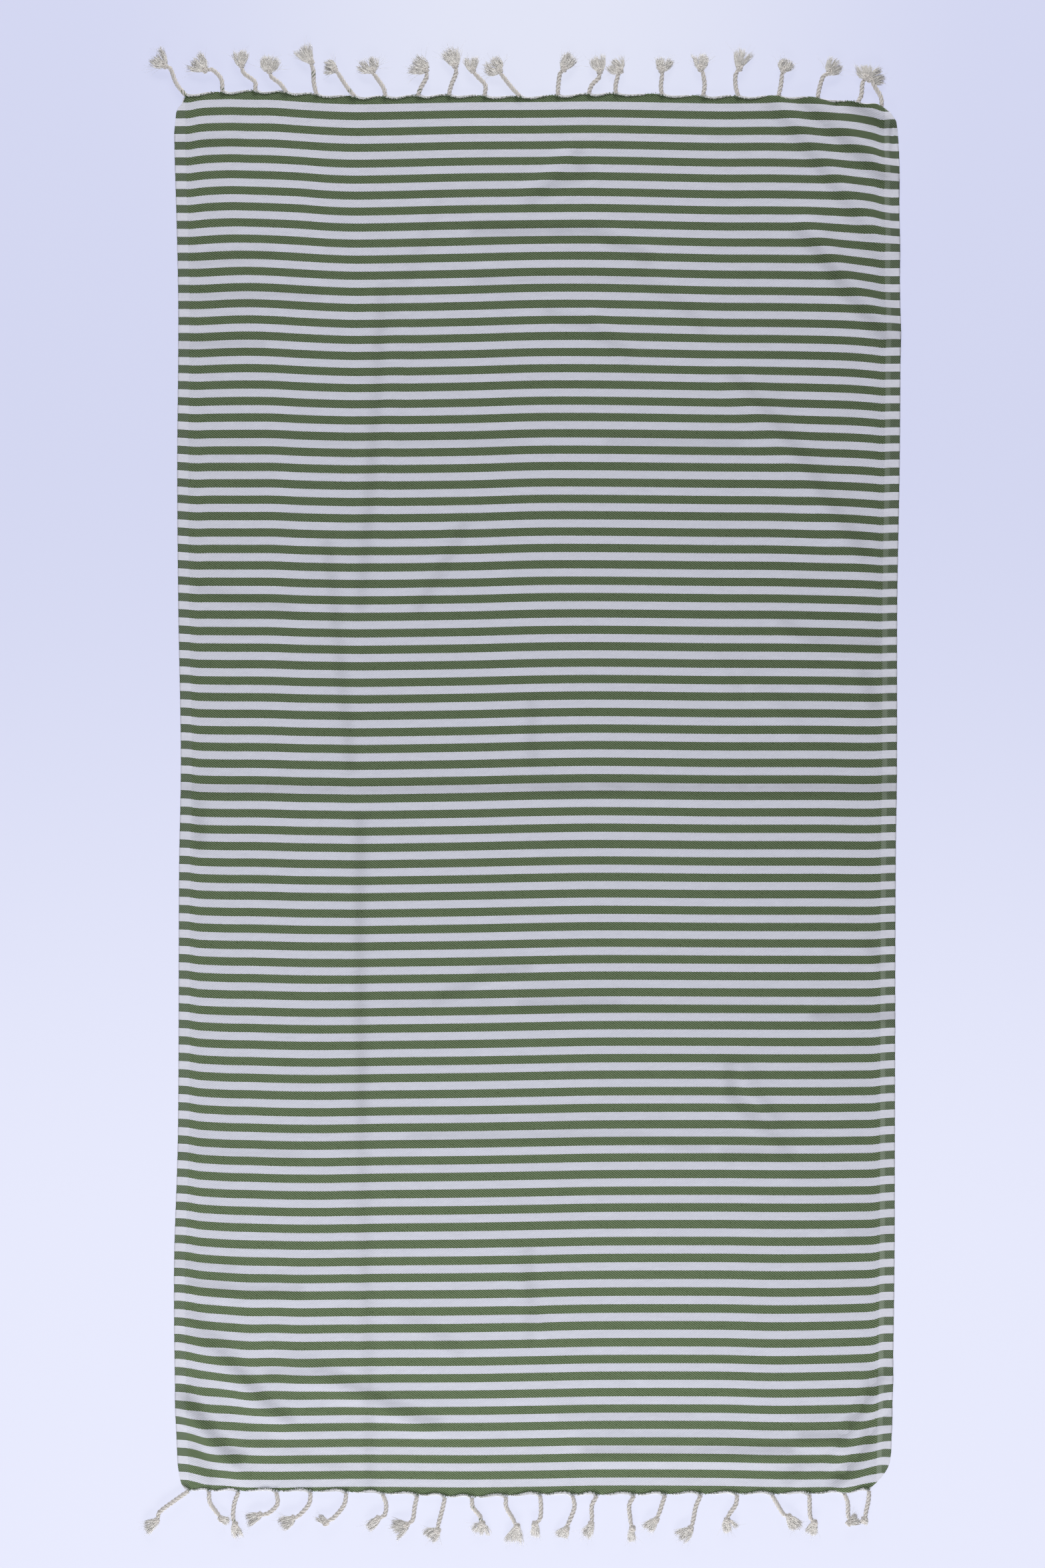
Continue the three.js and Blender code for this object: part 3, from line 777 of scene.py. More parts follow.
# %% [markdown]
# The striped field lies between the two selvedges. On the right a narrow paler band runs between the
# field and the selvedge. Each is a share from 0 to 1 with a soft border, worked out from u alone.

# %% Field and pale band
LEFT_SELVEDGE = 14 * MM
RIGHT_SELVEDGE = 19 * MM
PALE_BAND_WIDTH = 6.5 * MM
FIELD_BLUR = 0.7 * MM
BAND_BLUR = 1 * MM


def zones(tree, u):
    """How much of a point lies in the striped field, and how much in the pale band."""
    from_right = calc(tree, "SUBTRACT", CLOTH_WIDTH, u)
    inside_left = soft_step(tree, u, LEFT_SELVEDGE - FIELD_BLUR, LEFT_SELVEDGE + FIELD_BLUR)
    inside_right = soft_step(tree, from_right, RIGHT_SELVEDGE - FIELD_BLUR, RIGHT_SELVEDGE + FIELD_BLUR)
    field = calc(tree, "MULTIPLY", inside_left, inside_right)
    band_end = RIGHT_SELVEDGE - PALE_BAND_WIDTH
    short_of_end = soft_step(tree, from_right, band_end - BAND_BLUR, band_end + BAND_BLUR)
    band = calc(tree, "MULTIPLY", short_of_end, calc(tree, "SUBTRACT", 1, inside_right))
    return field, band


print("field", round((CLOTH_WIDTH - LEFT_SELVEDGE - RIGHT_SELVEDGE) / MM), "mm wide")

# %% [markdown]
# Green and white take turns along v. A stripe's border isn't a straight cut: the yarns stray a
# little, and each twill ridge carries the green a fraction of a millimetre over it.

# %% Stripes
FIRST_GREEN = 877.0 * MM
LAST_GREEN = 85
GREEN_SHARE = 0.509
STRIPE_BLUR = 0.012
YARN_STRAY = 0.5 * MM
TOOTH = 0.45 * MM


def stripes(tree, u, v, leaning_left, field):
    """0 in a green stripe and 1 in a white one."""
    stray = calc(tree, "MULTIPLY_ADD", noise(tree, 300, 50, 2, u, v, 7.0), YARN_STRAY, -YARN_STRAY / 2)
    tooth = calc(tree, "MULTIPLY", calc(tree, "MULTIPLY", leaning_left, field), TOOTH)
    place = calc(tree, "ADD", calc(tree, "ADD", v, stray), tooth)
    turns = calc(tree, "DIVIDE", calc(tree, "SUBTRACT", FIRST_GREEN, place), STRIPE_PITCH)
    counted = calc(tree, "MINIMUM", calc(tree, "MAXIMUM", turns, 0), LAST_GREEN)
    # 0 in the middle of a green stripe, 0.5 in the middle of a white one.
    from_green = calc(tree, "PINGPONG", counted, 0.5)
    border = GREEN_SHARE / 2
    return soft_step(tree, from_green, border - STRIPE_BLUR, border + STRIPE_BLUR)


print(LAST_GREEN + 1, "green stripes,", round(STRIPE_PITCH / MM, 2), "mm from one to the next")

# %% [markdown]
# The green shows pale dashes along the crests of the twill, where the warp lies on top. They are
# broken, because the yarns vary. On the selvedges the dots take their place. The green has also
# faded a little towards the near end, and least on the right.

# %% Colour of the green stripes
GREEN_DARK = linear(58, 74, 45)
GREEN_LIGHT = linear(130, 147, 116)
GREEN_SELVEDGE = linear(150, 164, 144)
GREEN_PALE = linear(136, 148, 131)
FADED_BY = 0.22
FADED_LESS_BY = 0.09


def green_colour(tree, u, v, lines, zone, yarns):
    """The green in the field, on the selvedges and on the pale band."""
    leaning_left, leaning_right, dots = lines
    field, band = zone
    crest = calc(tree, "POWER", leaning_left, 1.3)
    broken = calc(tree, "MULTIPLY", crest, soft_step(tree, yarns, 0.1, 0.5))
    green_field = blend(tree, broken, GREEN_DARK, GREEN_LIGHT)
    edge_dots = calc(tree, "MULTIPLY_ADD", dots, 0.7, calc(tree, "MULTIPLY", yarns, 0.3))
    green_edge = blend(tree, edge_dots, GREEN_DARK, GREEN_SELVEDGE)
    pale_share = calc(tree, "MULTIPLY", band, calc(tree, "MULTIPLY_ADD", leaning_right, 0.75, 0.25))
    green_edge = blend(tree, pale_share, green_edge, GREEN_PALE)
    fresh = blend(tree, field, green_edge, green_field)
    worn = calc(tree, "MULTIPLY_ADD", soft_step(tree, v, 0.35, -0.85), FADED_BY, 1)
    worn_less = calc(tree, "MULTIPLY", soft_step(tree, u, 0.6, 0.86), FADED_LESS_BY)
    return scaled(tree, fresh, calc(tree, "SUBTRACT", worn, worn_less))


# %% Colour of the white stripes
WHITE_HIGH = linear(235, 236, 248)
WHITE_LOW = linear(199, 201, 216)
WHITE_LINE = 0.45


def white_colour(tree, leaning_right, field, yarns):
    """The off-white, with its faint line of painted shade and highlight in the field, and its uneven
    yarns.
    """
    # The faint line is painted shade in the twill's grooves and painted highlight on its crests.
    line = calc(tree, "MULTIPLY", calc(tree, "SUBTRACT", leaning_right, 0.5), WHITE_LINE)
    pale_line = calc(tree, "MULTIPLY_ADD", calc(tree, "SUBTRACT", line, 0.2), field, 0.5)
    share = calc(tree, "MULTIPLY_ADD", yarns, 0.6, pale_line)
    return blend(tree, share, WHITE_LOW, WHITE_HIGH)


# %% [markdown]
# Over both colours lies a little unevenness. Each pick of weft differs from the next in thickness
# and dye, and the cloth is darker in some patches than in others. Along the folds a painted shade
# darkens the colour too, here more and there less.

# %% Unevenness of the cloth, with the painted shade of the folds
PICKS_VARY = 0.14
PATCHES_VARY = 0.1


def unevenness(tree, u, v):
    """How light each point of the cloth is, about 1 on the whole, with the folds' painted shade taken
    off.
    """
    picks = noise(tree, 40, 1500, 1, u, v)
    patches = noise(tree, 55, 160, 2, u, v, 5.0)
    shade = calc(tree, "MULTIPLY_ADD", picks, PICKS_VARY, 1 - PICKS_VARY / 2)
    patchy = calc(tree, "MULTIPLY_ADD", patches, PATCHES_VARY, 1 - PATCHES_VARY / 2)
    # The painted shade along the folds, here more and there less.
    fold_shade = tree.nodes.new("ShaderNodeAttribute")
    fold_shade.attribute_name = "fold_shade"
    more_or_less = calc(tree, "ADD", noise(tree, 30, 30, 2, u, v, 9.0), 0.5)
    groove = calc(tree, "MULTIPLY", fold_shade.outputs["Fac"], more_or_less)
    shade = calc(tree, "MULTIPLY", shade, patchy)
    return calc(tree, "MULTIPLY", shade, calc(tree, "SUBTRACT", 1, groove))


# %% The finish of the cloth
WEAVE_RELIEF = 0.15 * MM
CRUMPLE = 1.6 * MM


def striped_twill():
    """The twill's colours and its relief: ridges in the field, and a soft crumple all over."""
    material, tree, shader, u, v = new_finish("green_and_white_twill")
    lines = weave_lines(tree, u, v)
    leaning_left, leaning_right, _ = lines
    zone = zones(tree, u)
    field, _ = zone
    yarns = noise(tree, 520, 520, 1, u, v, 3.0)
    white = stripes(tree, u, v, leaning_left, field)
    green = green_colour(tree, u, v, lines, zone, yarns)
    pale = white_colour(tree, leaning_right, field, yarns)
    colour = scaled(tree, blend(tree, white, green, pale), unevenness(tree, u, v))
    tree.links.new(colour, shader.inputs["Base Color"])

    raised = blend(tree, white, leaning_left, leaning_right)
    ribbed = calc(tree, "MULTIPLY_ADD", yarns, 0.25, calc(tree, "MULTIPLY", raised, field))
    crumple = noise(tree, 22, 34, 3, u, v, 11.0)
    height = calc(tree, "MULTIPLY_ADD", crumple, CRUMPLE / WEAVE_RELIEF, ribbed)
    emboss(tree, shader, height, 1.0, WEAVE_RELIEF)
    shader.inputs["Roughness"].default_value = 0.92
    shader.inputs["Specular IOR Level"].default_value = 0.2
    shader.inputs["Sheen Weight"].default_value = 0.12
    shader.inputs["Sheen Roughness"].default_value = 0.5
    return material


cloth.data.materials.append(striped_twill())
print("cloth wears", cloth.data.materials[0].name)

# %% [markdown]
# ## Yarn
#
# Everything in the fringe is yarn: a thin round strand that follows a line. A tube is made by
# carrying a ring of points along the line without letting it spin, so that twist is added only where
# it is wanted. The tubes of one kind are collected in one heap for each end and become one mesh,
# because thousands of separate objects would be slow to handle.


# %% A heap of strands
class Heap:
    """Collects the points and faces of many strands for one mesh."""

    def __init__(self):
        self.points = []
        self.faces = []
        self.uv = []
        self.count = 0

    def add(self, rings, along):
        """Adds a tube through rings of points. along is each ring's place on the strand."""
        steps, sides, _ = rings.shape
        index = np.arange(steps * sides).reshape(steps, sides) + self.count
        a, b = index[:-1], np.roll(index[:-1], -1, axis=1)
        c, d = np.roll(index[1:], -1, axis=1), index[1:]
        self.faces.extend(np.stack([a, b, c, d], axis=-1).reshape(-1, 4).tolist())
        self.faces.append(index[0][::-1].tolist())
        self.faces.append(index[-1].tolist())
        around = np.tile(np.arange(sides) / sides, steps)
        self.uv.append(np.stack([around, np.repeat(along, sides)], axis=1))
        self.points.append(rings.reshape(-1, 3))
        self.count += steps * sides

    def piece(self, name):
        """The heap as one object."""
        return new_piece(name, np.concatenate(self.points), self.faces, np.concatenate(self.uv))


# %% Lines
def unit(vectors):
    """Vectors scaled to length one."""
    return vectors / np.maximum(np.linalg.norm(vectors, axis=-1, keepdims=True), 1e-12)


def even_line(points, spacing):
    """A smooth line through points, cut into steps of about one spacing."""
    points = np.asarray(points, float)
    chords = np.linalg.norm(np.diff(points, axis=0), axis=1)
    places = np.concatenate([[0], np.cumsum(chords)])
    dense = through(places, points, np.linspace(0, places[-1], 40 * len(points)))
    lengths = np.concatenate([[0], np.cumsum(np.linalg.norm(np.diff(dense, axis=0), axis=1))])
    steps = max(3, round(lengths[-1] / spacing))
    at = np.linspace(0, lengths[-1], steps + 1)
    return np.stack([np.interp(at, lengths, dense[:, k]) for k in range(3)], axis=1), at


sample_line, _ = even_line([(0, 0, 0), (1, 1, 0), (2, 0, 0)], 0.5)
print("a bent line cut into", len(sample_line) - 1, "even steps")


# %% Tubes
def carried_axes(line):
    """Two directions square to the line at every point, which don't spin round it."""
    forward = unit(np.gradient(line, axis=0))
    side = np.empty_like(line)
    first = np.cross([0, 0, 1.0], forward[0])
    side[0] = unit(first if np.linalg.norm(first) > 0.1 else np.cross([1.0, 0, 0], forward[0]))
    for i in range(1, len(line)):
        side[i] = unit(side[i - 1] - forward[i] * np.dot(side[i - 1], forward[i]))
    return side, np.cross(forward, side)


def tube(heap, line, along, radius, sides):
    """Adds a strand to the heap. radius may be one number or one for each point."""
    side, up = carried_axes(line)
    angles = 2 * np.pi * np.arange(sides) / sides
    radii = np.broadcast_to(radius, len(line))[:, None, None]
    ring = side[:, None, :] * np.cos(angles)[None, :, None]
    ring = ring + up[:, None, :] * np.sin(angles)[None, :, None]
    heap.add(line[:, None, :] + radii * ring, along)


# %% [markdown]
# ## A twisted cord
#
# The warp yarns of about four centimetres of cloth are rolled into three strands, and the strands
# are laid round each other. Three tubes that wind round one line give the rope look, and the light
# falls into the grooves between them as it does on the real cord. A single tube with a bump could
# pass from far off, but its outline would be straight.

# %% Rope
CORD_RADIUS = 2.9 * MM
STRANDS = 3
LAY_LENGTH = 15.5 * MM
STRAND_SHARE = 0.5
STRAND_SIDES = 9
CENTRE_SHARE = 0.54


def rope(heap, line, along, radius):
    """Adds a twisted cord of three strands that follow a line."""
    side, up = carried_axes(line)
    radius = np.broadcast_to(radius, len(line))
    for k in range(STRANDS):
        angle = 2 * np.pi * (along / LAY_LENGTH + k / STRANDS)
        offset = side * np.cos(angle)[:, None] + up * np.sin(angle)[:, None]
        strand = line + offset * (CENTRE_SHARE * radius)[:, None]
        tube(heap, strand, along, STRAND_SHARE * radius, STRAND_SIDES)


print("cord", round(2 * CORD_RADIUS / MM, 1), "mm thick, one turn in", round(LAY_LENGTH / MM, 1), "mm")

# %% [markdown]
# ## The overhand knot
#
# Each cord is tied in a plain overhand knot. The line of such a knot is an open trefoil: it winds
# twice round while it weaves three times up and down. Pulled tight in soft cotton, it makes a lump
# about one and a half times as wide as the cord.

# %% Knot line
KNOT_SIZE = 0.98 * MM
KNOT_RISE = 1.3
KNOT_CORD = 1.95 * MM
KNOT_POINTS = 26
OPEN_AT_ENDS = 0.22


def knot_line(centre, forward, mirrored):
    """Points of an overhand knot whose ends leave along forward."""
    turn = np.linspace(OPEN_AT_ENDS, 2 * np.pi - OPEN_AT_ENDS, KNOT_POINTS)
    loop = 2 + np.cos(3 * turn)
    ahead = loop * np.sin(2 * turn)
    aside = loop * np.cos(2 * turn) - 1.1
    rise = KNOT_RISE * np.sin(3 * turn) + 0.5 * (turn / np.pi - 1)
    across = np.cross([0, 0, 1.0], forward) * (-1 if mirrored else 1)
    flat = ahead[:, None] * forward + aside[:, None] * across
    return centre + KNOT_SIZE * (flat + rise[:, None] * np.array([0, 0, 1.0]))


knot_reach = np.ptp(knot_line(np.zeros(3), np.array([0, 1.0, 0]), False), axis=0) + 2 * KNOT_CORD
print("knot in mm", [round(reach / MM, 1) for reach in knot_reach])

# %% [markdown]
# ## One tassel
#
# The line of the cord starts at the cloth, passes its two bends, goes once through the knot and
# comes out as a tuft. The cord lies on the floor for most of its way, and rises a little to the knot,
# which is thicker.

# %% The tassel's way over the floor
FLOOR_GAP = 0.4 * MM
ROOT_OUT = 0.6
ROOT_HEIGHT = 1.9 * MM
BEND_RISE = 0.4 * MM
KNOT_HEIGHT = 4.4 * MM


def heading(end, degrees):
    """The direction on the floor that turns by degrees to the right from straight out."""
    angle = math.radians(degrees)
    return np.array([math.sin(angle), end["out"] * math.cos(angle), 0.0])


def tassel_places(end, tassel):
    """The root, the two bends and the knot of a tassel, in metres."""
    x = tassel["root"] * MM
    y = end_line(end, x)[0] + end["out"] * end["gap"]
    low = FLOOR_GAP + CORD_RADIUS
    rows = [
        (0, ROOT_OUT, ROOT_HEIGHT),
        (tassel["x1"], tassel["out1"], low),
        (tassel["x2"], tassel["out2"], low + BEND_RISE),
        (tassel["knot_x"], tassel["knot_out"], KNOT_HEIGHT),
    ]
    return [np.array([x + dx * MM, y + end["out"] * out * MM, z]) for dx, out, z in rows]


for end in (FAR, NEAR):
    first_places = np.array(tassel_places(end, end["tassels"][0]))
    print(end["name"], "end, first root to knot in mm", np.round(first_places / MM, 1).tolist())

# %% [markdown]
# The tuft is the cord's own yarns again, let loose. Well over two hundred fine strands leave the knot
# together and spread, each with its own length, curl and thickness. They hang together in a few soft
# lobes, as combed wool does, and some thinner hairs stray outside them.

# %% One loose yarn
YARN_POINTS = 6
YARN_SIDES = 3


def loose_yarn(heap, start, out, aside, reach, begin, swell, bow, high, thick, rng):
    """Adds one yarn that leaves the knot, swells aside, then bends and comes down."""
    shares = np.linspace(0.04, 1, YARN_POINTS)
    ripple = rng.gauss(0, 0.03) * reach
    points = []
    for share in shares:
        side_way = begin + swell * smooth(share, 0, 0.55) + bow * share**2
        side_way = side_way + ripple * math.sin(6 * share)
        z = start[2] + (high - start[2]) * smooth(share, 0, 0.6)
        z *= 1 - 0.5 * smooth(share, 0.6, 1)
        spot = start + out * reach * share + aside * side_way
        points.append([spot[0], spot[1], max(z, FLOOR_GAP + thick)])
    radius = thick * np.interp(shares, [0, 0.7, 1], [1, 1, 0.35])
    tube(heap, np.array(points), shares * reach, radius, YARN_SIDES)


# %% Tuft
TUFT_YARNS = 240
TUFT_ROOT = 3 * MM
SWELL = 0.36
HAIRS = 16
HAIR_RADIUS = 0.1 * MM


def tuft(heap, end, tassel, start, rng):
    """Adds the loose yarns beyond the knot, gathered in soft lobes, and some stray hairs."""
    lobes = 3 + round(tassel["spread"] / 25)
    centres = [(b + 0.5) / lobes - 0.5 + rng.uniform(-0.05, 0.05) for b in range(lobes)]
    reaches = [rng.uniform(0.9, 1.12) for _ in centres]
    bows = [rng.gauss(0, 0.12) for _ in centres]
    heights = [rng.uniform(2.5, 5) * MM for _ in centres]
    length = tassel["length"] * MM
    width = 2 * length * math.sin(math.radians(tassel["spread"]) / 2)
    for _ in range(TUFT_YARNS):
        spot = rng.uniform(-0.5, 0.5)
        b = min(range(lobes), key=lambda i: abs(centres[i] - spot))
        place = spot + (centres[b] - spot) * 0.3
        turn = tassel["turn"] + 0.3 * tassel["spread"] * place + rng.gauss(0, 4)
        reach = length * reaches[b] * rng.triangular(0.6, 1.12, 0.95)
        swell = SWELL * width * place
        bow = (bows[b] + rng.gauss(0, 0.06)) * reach
        high = heights[b] + rng.triangular(-1.6, 1.6, 0) * MM
        begin = place * (TUFT_ROOT + 0.12 * width) + rng.gauss(0, 0.3) * MM
        thick = rng.uniform(0.26, 0.4) * MM
        out, aside = heading(end, turn), heading(end, turn + 90)
        loose_yarn(heap, start, out, aside, reach, begin, swell, bow, high, thick, rng)
    for _ in range(HAIRS):
        turn = tassel["turn"] + tassel["spread"] * rng.uniform(-0.7, 0.7)
        reach = length * rng.uniform(1, 1.5)
        bow = rng.gauss(0, 0.2) * reach
        high = rng.uniform(0.8, 6) * MM
        out, aside = heading(end, turn), heading(end, turn + 90)
        loose_yarn(heap, start, out, aside, reach, 0, 0, bow, high, HAIR_RADIUS, rng)


print(TUFT_YARNS, "yarns and", HAIRS, "stray hairs in each tuft")

# %% [markdown]
# Here and there a bit of green weft was rolled into a cord by mistake, and shows in the grooves
# between its strands. Each row of the table gives the tassel's number, counted from 0, and then says
# where along the cord the green starts and how long it is.

# %% Green yarn caught in the cords, in millimetres
GREEN_BITS = {
    "far": [(0, 0, 7), (1, 1, 4), (4, 20, 8), (5, 6, 4), (7, 3, 5)],
    "near": [(2, 34, 5), (9, 9, 4), (9, 27, 9)],
}
CAUGHT_RADIUS = 0.5 * MM
CAUGHT_SIDES = 5


def caught_yarn(heap, line, along, radius, start, length):
    """Adds green yarn in the grooves between a cord's strands."""
    side, up = carried_axes(line)
    part = (along >= start) & (along <= start + length)
    for k in range(STRANDS):
        angle = 2 * np.pi * (along / LAY_LENGTH + (k + 0.5) / STRANDS)
        offset = side * np.cos(angle)[:, None] + up * np.sin(angle)[:, None]
        path = line + offset * (0.8 * radius)[:, None]
        tube(heap, path[part], along[part], CAUGHT_RADIUS, CAUGHT_SIDES)


print(sum(len(bits) for bits in GREEN_BITS.values()), "bits of green")


# %% Cord, knot and tuft of one tassel
ROOT_RADIUS = 2.6 * MM
ROOT_TAPER = 7 * MM
CORD_STEP = 1.1 * MM
KNOT_STEP = 1.2 * MM
INTO_KNOT = 4.4 * MM
OUT_OF_KNOT = 4 * MM


def tassel_piece(heap, tufts, green, end, i, rng):
    """Adds tassel i: its cord and knot to one heap, its tuft and its green bits to two others."""
    tassel = end["tassels"][i]
    root, bend_1, bend_2, knot = tassel_places(end, tassel)
    arriving = unit((knot - bend_2) * [1, 1, 0])
    leaving = heading(end, tassel["turn"])
    through_knot = unit(arriving + leaving * 0.8 + np.array([1e-6, 0, 0]))
    knotted = knot_line(knot, through_knot, rng.random() < 0.5)
    way_in = knot - arriving * INTO_KNOT
    way_out = knot + leaving * OUT_OF_KNOT
    eased_bend = bend_2 * 0.5 + (bend_2 + way_in) * 0.25
    line, along = even_line([root, bend_1, eased_bend, way_in], CORD_STEP)
    radius = ROOT_RADIUS + (CORD_RADIUS - ROOT_RADIUS) * smooth(along, 0, ROOT_TAPER)
    radius = radius * (1 - 0.14 * smooth(along, along[-1] - 6 * MM, along[-1]))
    line[:, 2] = np.maximum(line[:, 2], FLOOR_GAP + radius)
    rope(heap, line, along, radius)
    for owner, start, length in GREEN_BITS[end["name"]]:
        if owner == i:
            caught_yarn(green, line, along, radius, start * MM, length * MM)
    inner, inner_along = even_line([way_in, *knotted, way_out], KNOT_STEP)
    inner[:, 2] = np.maximum(inner[:, 2], FLOOR_GAP + KNOT_CORD)
    rope(heap, inner, inner_along, KNOT_CORD)
    above = np.array([0, 0, 1.2 * MM])
    tuft(tufts, end, tassel, knot - leaving * 1.6 * MM + above, rng)


# %% [markdown]
# ## The gathered warp
#
# Between cloth and cord the warp yarns run sideways. Most of a tassel's yarns come from one side of
# its root, lie along the woven edge as a flat bundle, and slip into the cord one after another. Each
# yarn is laid singly here, from its own place on the edge to the root.

# %% Warp yarns along a cloth end
WARP_SPACING = 1.2 * MM
LONGEST_GATHER = 38 * MM
SHORTEST_GATHER = 3 * MM
GATHER_AHEAD = 4 * MM
WARP_STEP = 2.2 * MM
WARP_SIDES = 4


def gather_reach(end, i):
    """How far from root i its yarns come, to the left and to the right, in metres."""
    roots = end["roots"]
    if end["out"] > 0:
        behind = roots[i + 1] - roots[i] if i + 1 < len(roots) else FAR_END[-4, 0] * MM - roots[i]
        return GATHER_AHEAD, min(LONGEST_GATHER, max(behind - 3 * MM, SHORTEST_GATHER))
    behind = roots[i] - roots[i - 1] if i > 0 else roots[i] - NEAR_END[2, 0] * MM
    return min(LONGEST_GATHER, max(behind - 3 * MM, SHORTEST_GATHER)), GATHER_AHEAD


def gathered_warp(heap, end, i, rng):
    """Adds the yarns that run along the cloth's end into the root of tassel i."""
    x0 = end["roots"][i]
    reach_left, reach_right = gather_reach(end, i)
    starts = np.arange(x0 - reach_left, x0 + reach_right, WARP_SPACING)
    root = tassel_places(end, end["tassels"][i])[0]
    for x in starts:
        x = x + rng.uniform(-0.5, 0.5) * MM
        edge_y = end_line(end, x)[0]
        inside = edge_y - end["out"] * rng.uniform(0.5, 1.4) * MM
        share = abs(x - x0) / max(reach_left, reach_right)
        layer = rng.uniform(1.4, 2.2) * MM
        aside = (x0 - x) * 0.12
        near_root = x0 + (x - x0) * 0.3
        out_by = end["out"] * (rng.uniform(-0.2, 1.6) * MM + end["gap"] * rng.random())
        last_x = x0 + rng.uniform(-1, 1) * MM
        last_z = root[2] + rng.uniform(-0.8, 0.6) * MM
        points = [
            [x, inside, CLOTH_WALL + 0.1 * MM],
            [x + aside, end_line(end, x + aside)[0] + out_by * 0.35, layer],
            [near_root, end_line(end, near_root)[0] + out_by * (1.1 - 0.5 * share), layer + 0.5 * MM],
            [last_x, root[1] + end["out"] * 2.2 * MM, last_z],
        ]
        line, along = even_line(points, WARP_STEP)
        line[:, 2] += relief(line[:, 0], line[:, 1]) * (1 - smooth(along, 0, along[-1]))
        tube(heap, line, along, rng.uniform(0.28, 0.4) * MM, WARP_SIDES)


for end in (FAR, NEAR):
    widest = max(sum(gather_reach(end, i)) for i in range(len(end["tassels"])))
    print(end["name"], "tassels gather yarns from up to", round(widest / MM), "mm of the end")

# %% [markdown]
# The last picks of weft aren't held by anything but friction. They work loose and stand out from the
# edge as short green ends, most of all beside the roots, where the warp leaves them bare.

# %% Loose ends of weft
WEFT_END_SPACING = 2.9 * MM
WEFT_END_SIDES = 4
ENDS_AT_ROOT = 8
HELD_LENGTH = 1.5 * MM


def weft_end(heap, end, x, out_by, rng):
    """Adds one short end of green weft that stands out from the edge at x."""
    lean = rng.uniform(-1.6, 1.6) * MM
    radius = rng.uniform(0.22, 0.36) * MM
    points = []
    for share in (0, 0.4, 0.75, 1):
        place = x + lean * share
        edge = end_line(end, place)[0]
        lift = relief(np.array([place]), np.array([edge]))[0] * (1 - share)
        reach = (out_by + HELD_LENGTH) * share - HELD_LENGTH
        points.append([place, edge + end["out"] * reach, (1.3 + 1.5 * share) * MM + lift])
    tube(heap, np.array(points), np.linspace(0, 3 * MM, len(points)), radius, WEFT_END_SIDES)


def weft_ends(heap, end, rng):
    """Adds all the loose ends of weft along one end of the cloth."""
    first, last = end["roots"][0], end["roots"][-1]
    for x in np.arange(first + 3 * MM, last - 3 * MM, WEFT_END_SPACING):
        weft_end(heap, end, x + rng.uniform(-1.2, 1.2) * MM, rng.uniform(-0.4, 0.7) * MM, rng)
    for root in end["roots"]:
        for _ in range(ENDS_AT_ROOT):
            x = min(max(root + rng.gauss(-1.5, 2.2) * MM, first), last)
            weft_end(heap, end, x, rng.uniform(0.3, 1.6) * MM, rng)


print("a loose end every", round(WEFT_END_SPACING / MM, 1), "mm, and", ENDS_AT_ROOT, "at each root")

# %% [markdown]
# ## Spun cotton
#
# The warp was never dyed, and the loose ends of weft are green. Up close each strand is itself spun
# from finer yarn, so the finish carries slanting lines round every strand, painted as shade in the
# grooves between the finer yarns and raised a little too, and a slow drift between a darker and a
# paler tone along it. One formula serves them all, with two colours for each kind.


# %% Finish of the fringe
SPUN_TURNS_PER_METRE = -130
SPUN_LINES = 5


def spun_cotton(name, low, high):
    """The finish of yarn, between a darker and a paler colour."""
    material, tree, shader, around, along = new_finish(name)
    # The slanting lines are painted shade in the grooves between the finer yarns, beside their relief.
    round_it = calc(tree, "MULTIPLY", around, SPUN_LINES)
    spun = calc(tree, "MULTIPLY_ADD", along, SPUN_TURNS_PER_METRE, round_it)
    wave = calc(tree, "SINE", calc(tree, "MULTIPLY", spun, 2 * math.pi))
    lines = calc(tree, "MULTIPLY_ADD", wave, 0.5, 0.5)
    cloudy = noise(tree, 3, 260, 2, around, along)
    share = calc(tree, "MULTIPLY_ADD", cloudy, 0.55, calc(tree, "MULTIPLY", lines, 0.45))
    tree.links.new(blend(tree, share, low, high), shader.inputs["Base Color"])
    emboss(tree, shader, lines, 0.5, 0.2 * MM)
    shader.inputs["Roughness"].default_value = 0.95
    shader.inputs["Specular IOR Level"].default_value = 0.15
    shader.inputs["Sheen Weight"].default_value = 0.15
    return material


cord_cotton = spun_cotton("undyed_cotton_cord", linear(198, 192, 188), linear(240, 236, 231))
# The tufts are painted paler than the cord, to make up for the shade that their many fine yarns throw on
# each other.
loose_cotton = spun_cotton("undyed_cotton_loose", linear(238, 234, 230), linear(252, 250, 247))
green_cotton = spun_cotton("green_cotton", linear(76, 93, 66), linear(120, 139, 108))
# The gathered warp is painted paler and bluer than the cord, to make up for the shade it lies in beside
# the cloth's edge.
warp_cotton = spun_cotton("undyed_cotton_warp", linear(242, 242, 246), linear(252, 252, 255))
print("finishes", [finish.name for finish in (cord_cotton, loose_cotton, green_cotton, warp_cotton)])


# %% [markdown]
# ## Both fringes
#
# Each end gets four pieces: its cords with their knots, its tufts, its gathered warp, and its loose
# weft with the green bits that were caught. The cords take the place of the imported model's fringe,
# and the others are added to them. The random numbers start from the end's own seed, so that every
# run ties the same tassels.


# %% Fringe of one end
def make_fringe(end):
    """The four pieces of one end, each with its finish."""
    rng = random.Random(end["seed"])
    cords = Heap()
    tufts = Heap()
    warp = Heap()
    green = Heap()
    for i in range(len(end["tassels"])):
        tassel_piece(cords, tufts, green, end, i, rng)
        gathered_warp(warp, end, i, rng)
    weft_ends(green, end, rng)
    name = end["name"]
    return [
        (cords.piece(f"cords_{name}"), cord_cotton),
        (tufts.piece(f"tufts_{name}"), loose_cotton),
        (warp.piece(f"gathered_warp_{name}"), warp_cotton),
        (green.piece(f"loose_weft_{name}"), green_cotton),
    ]


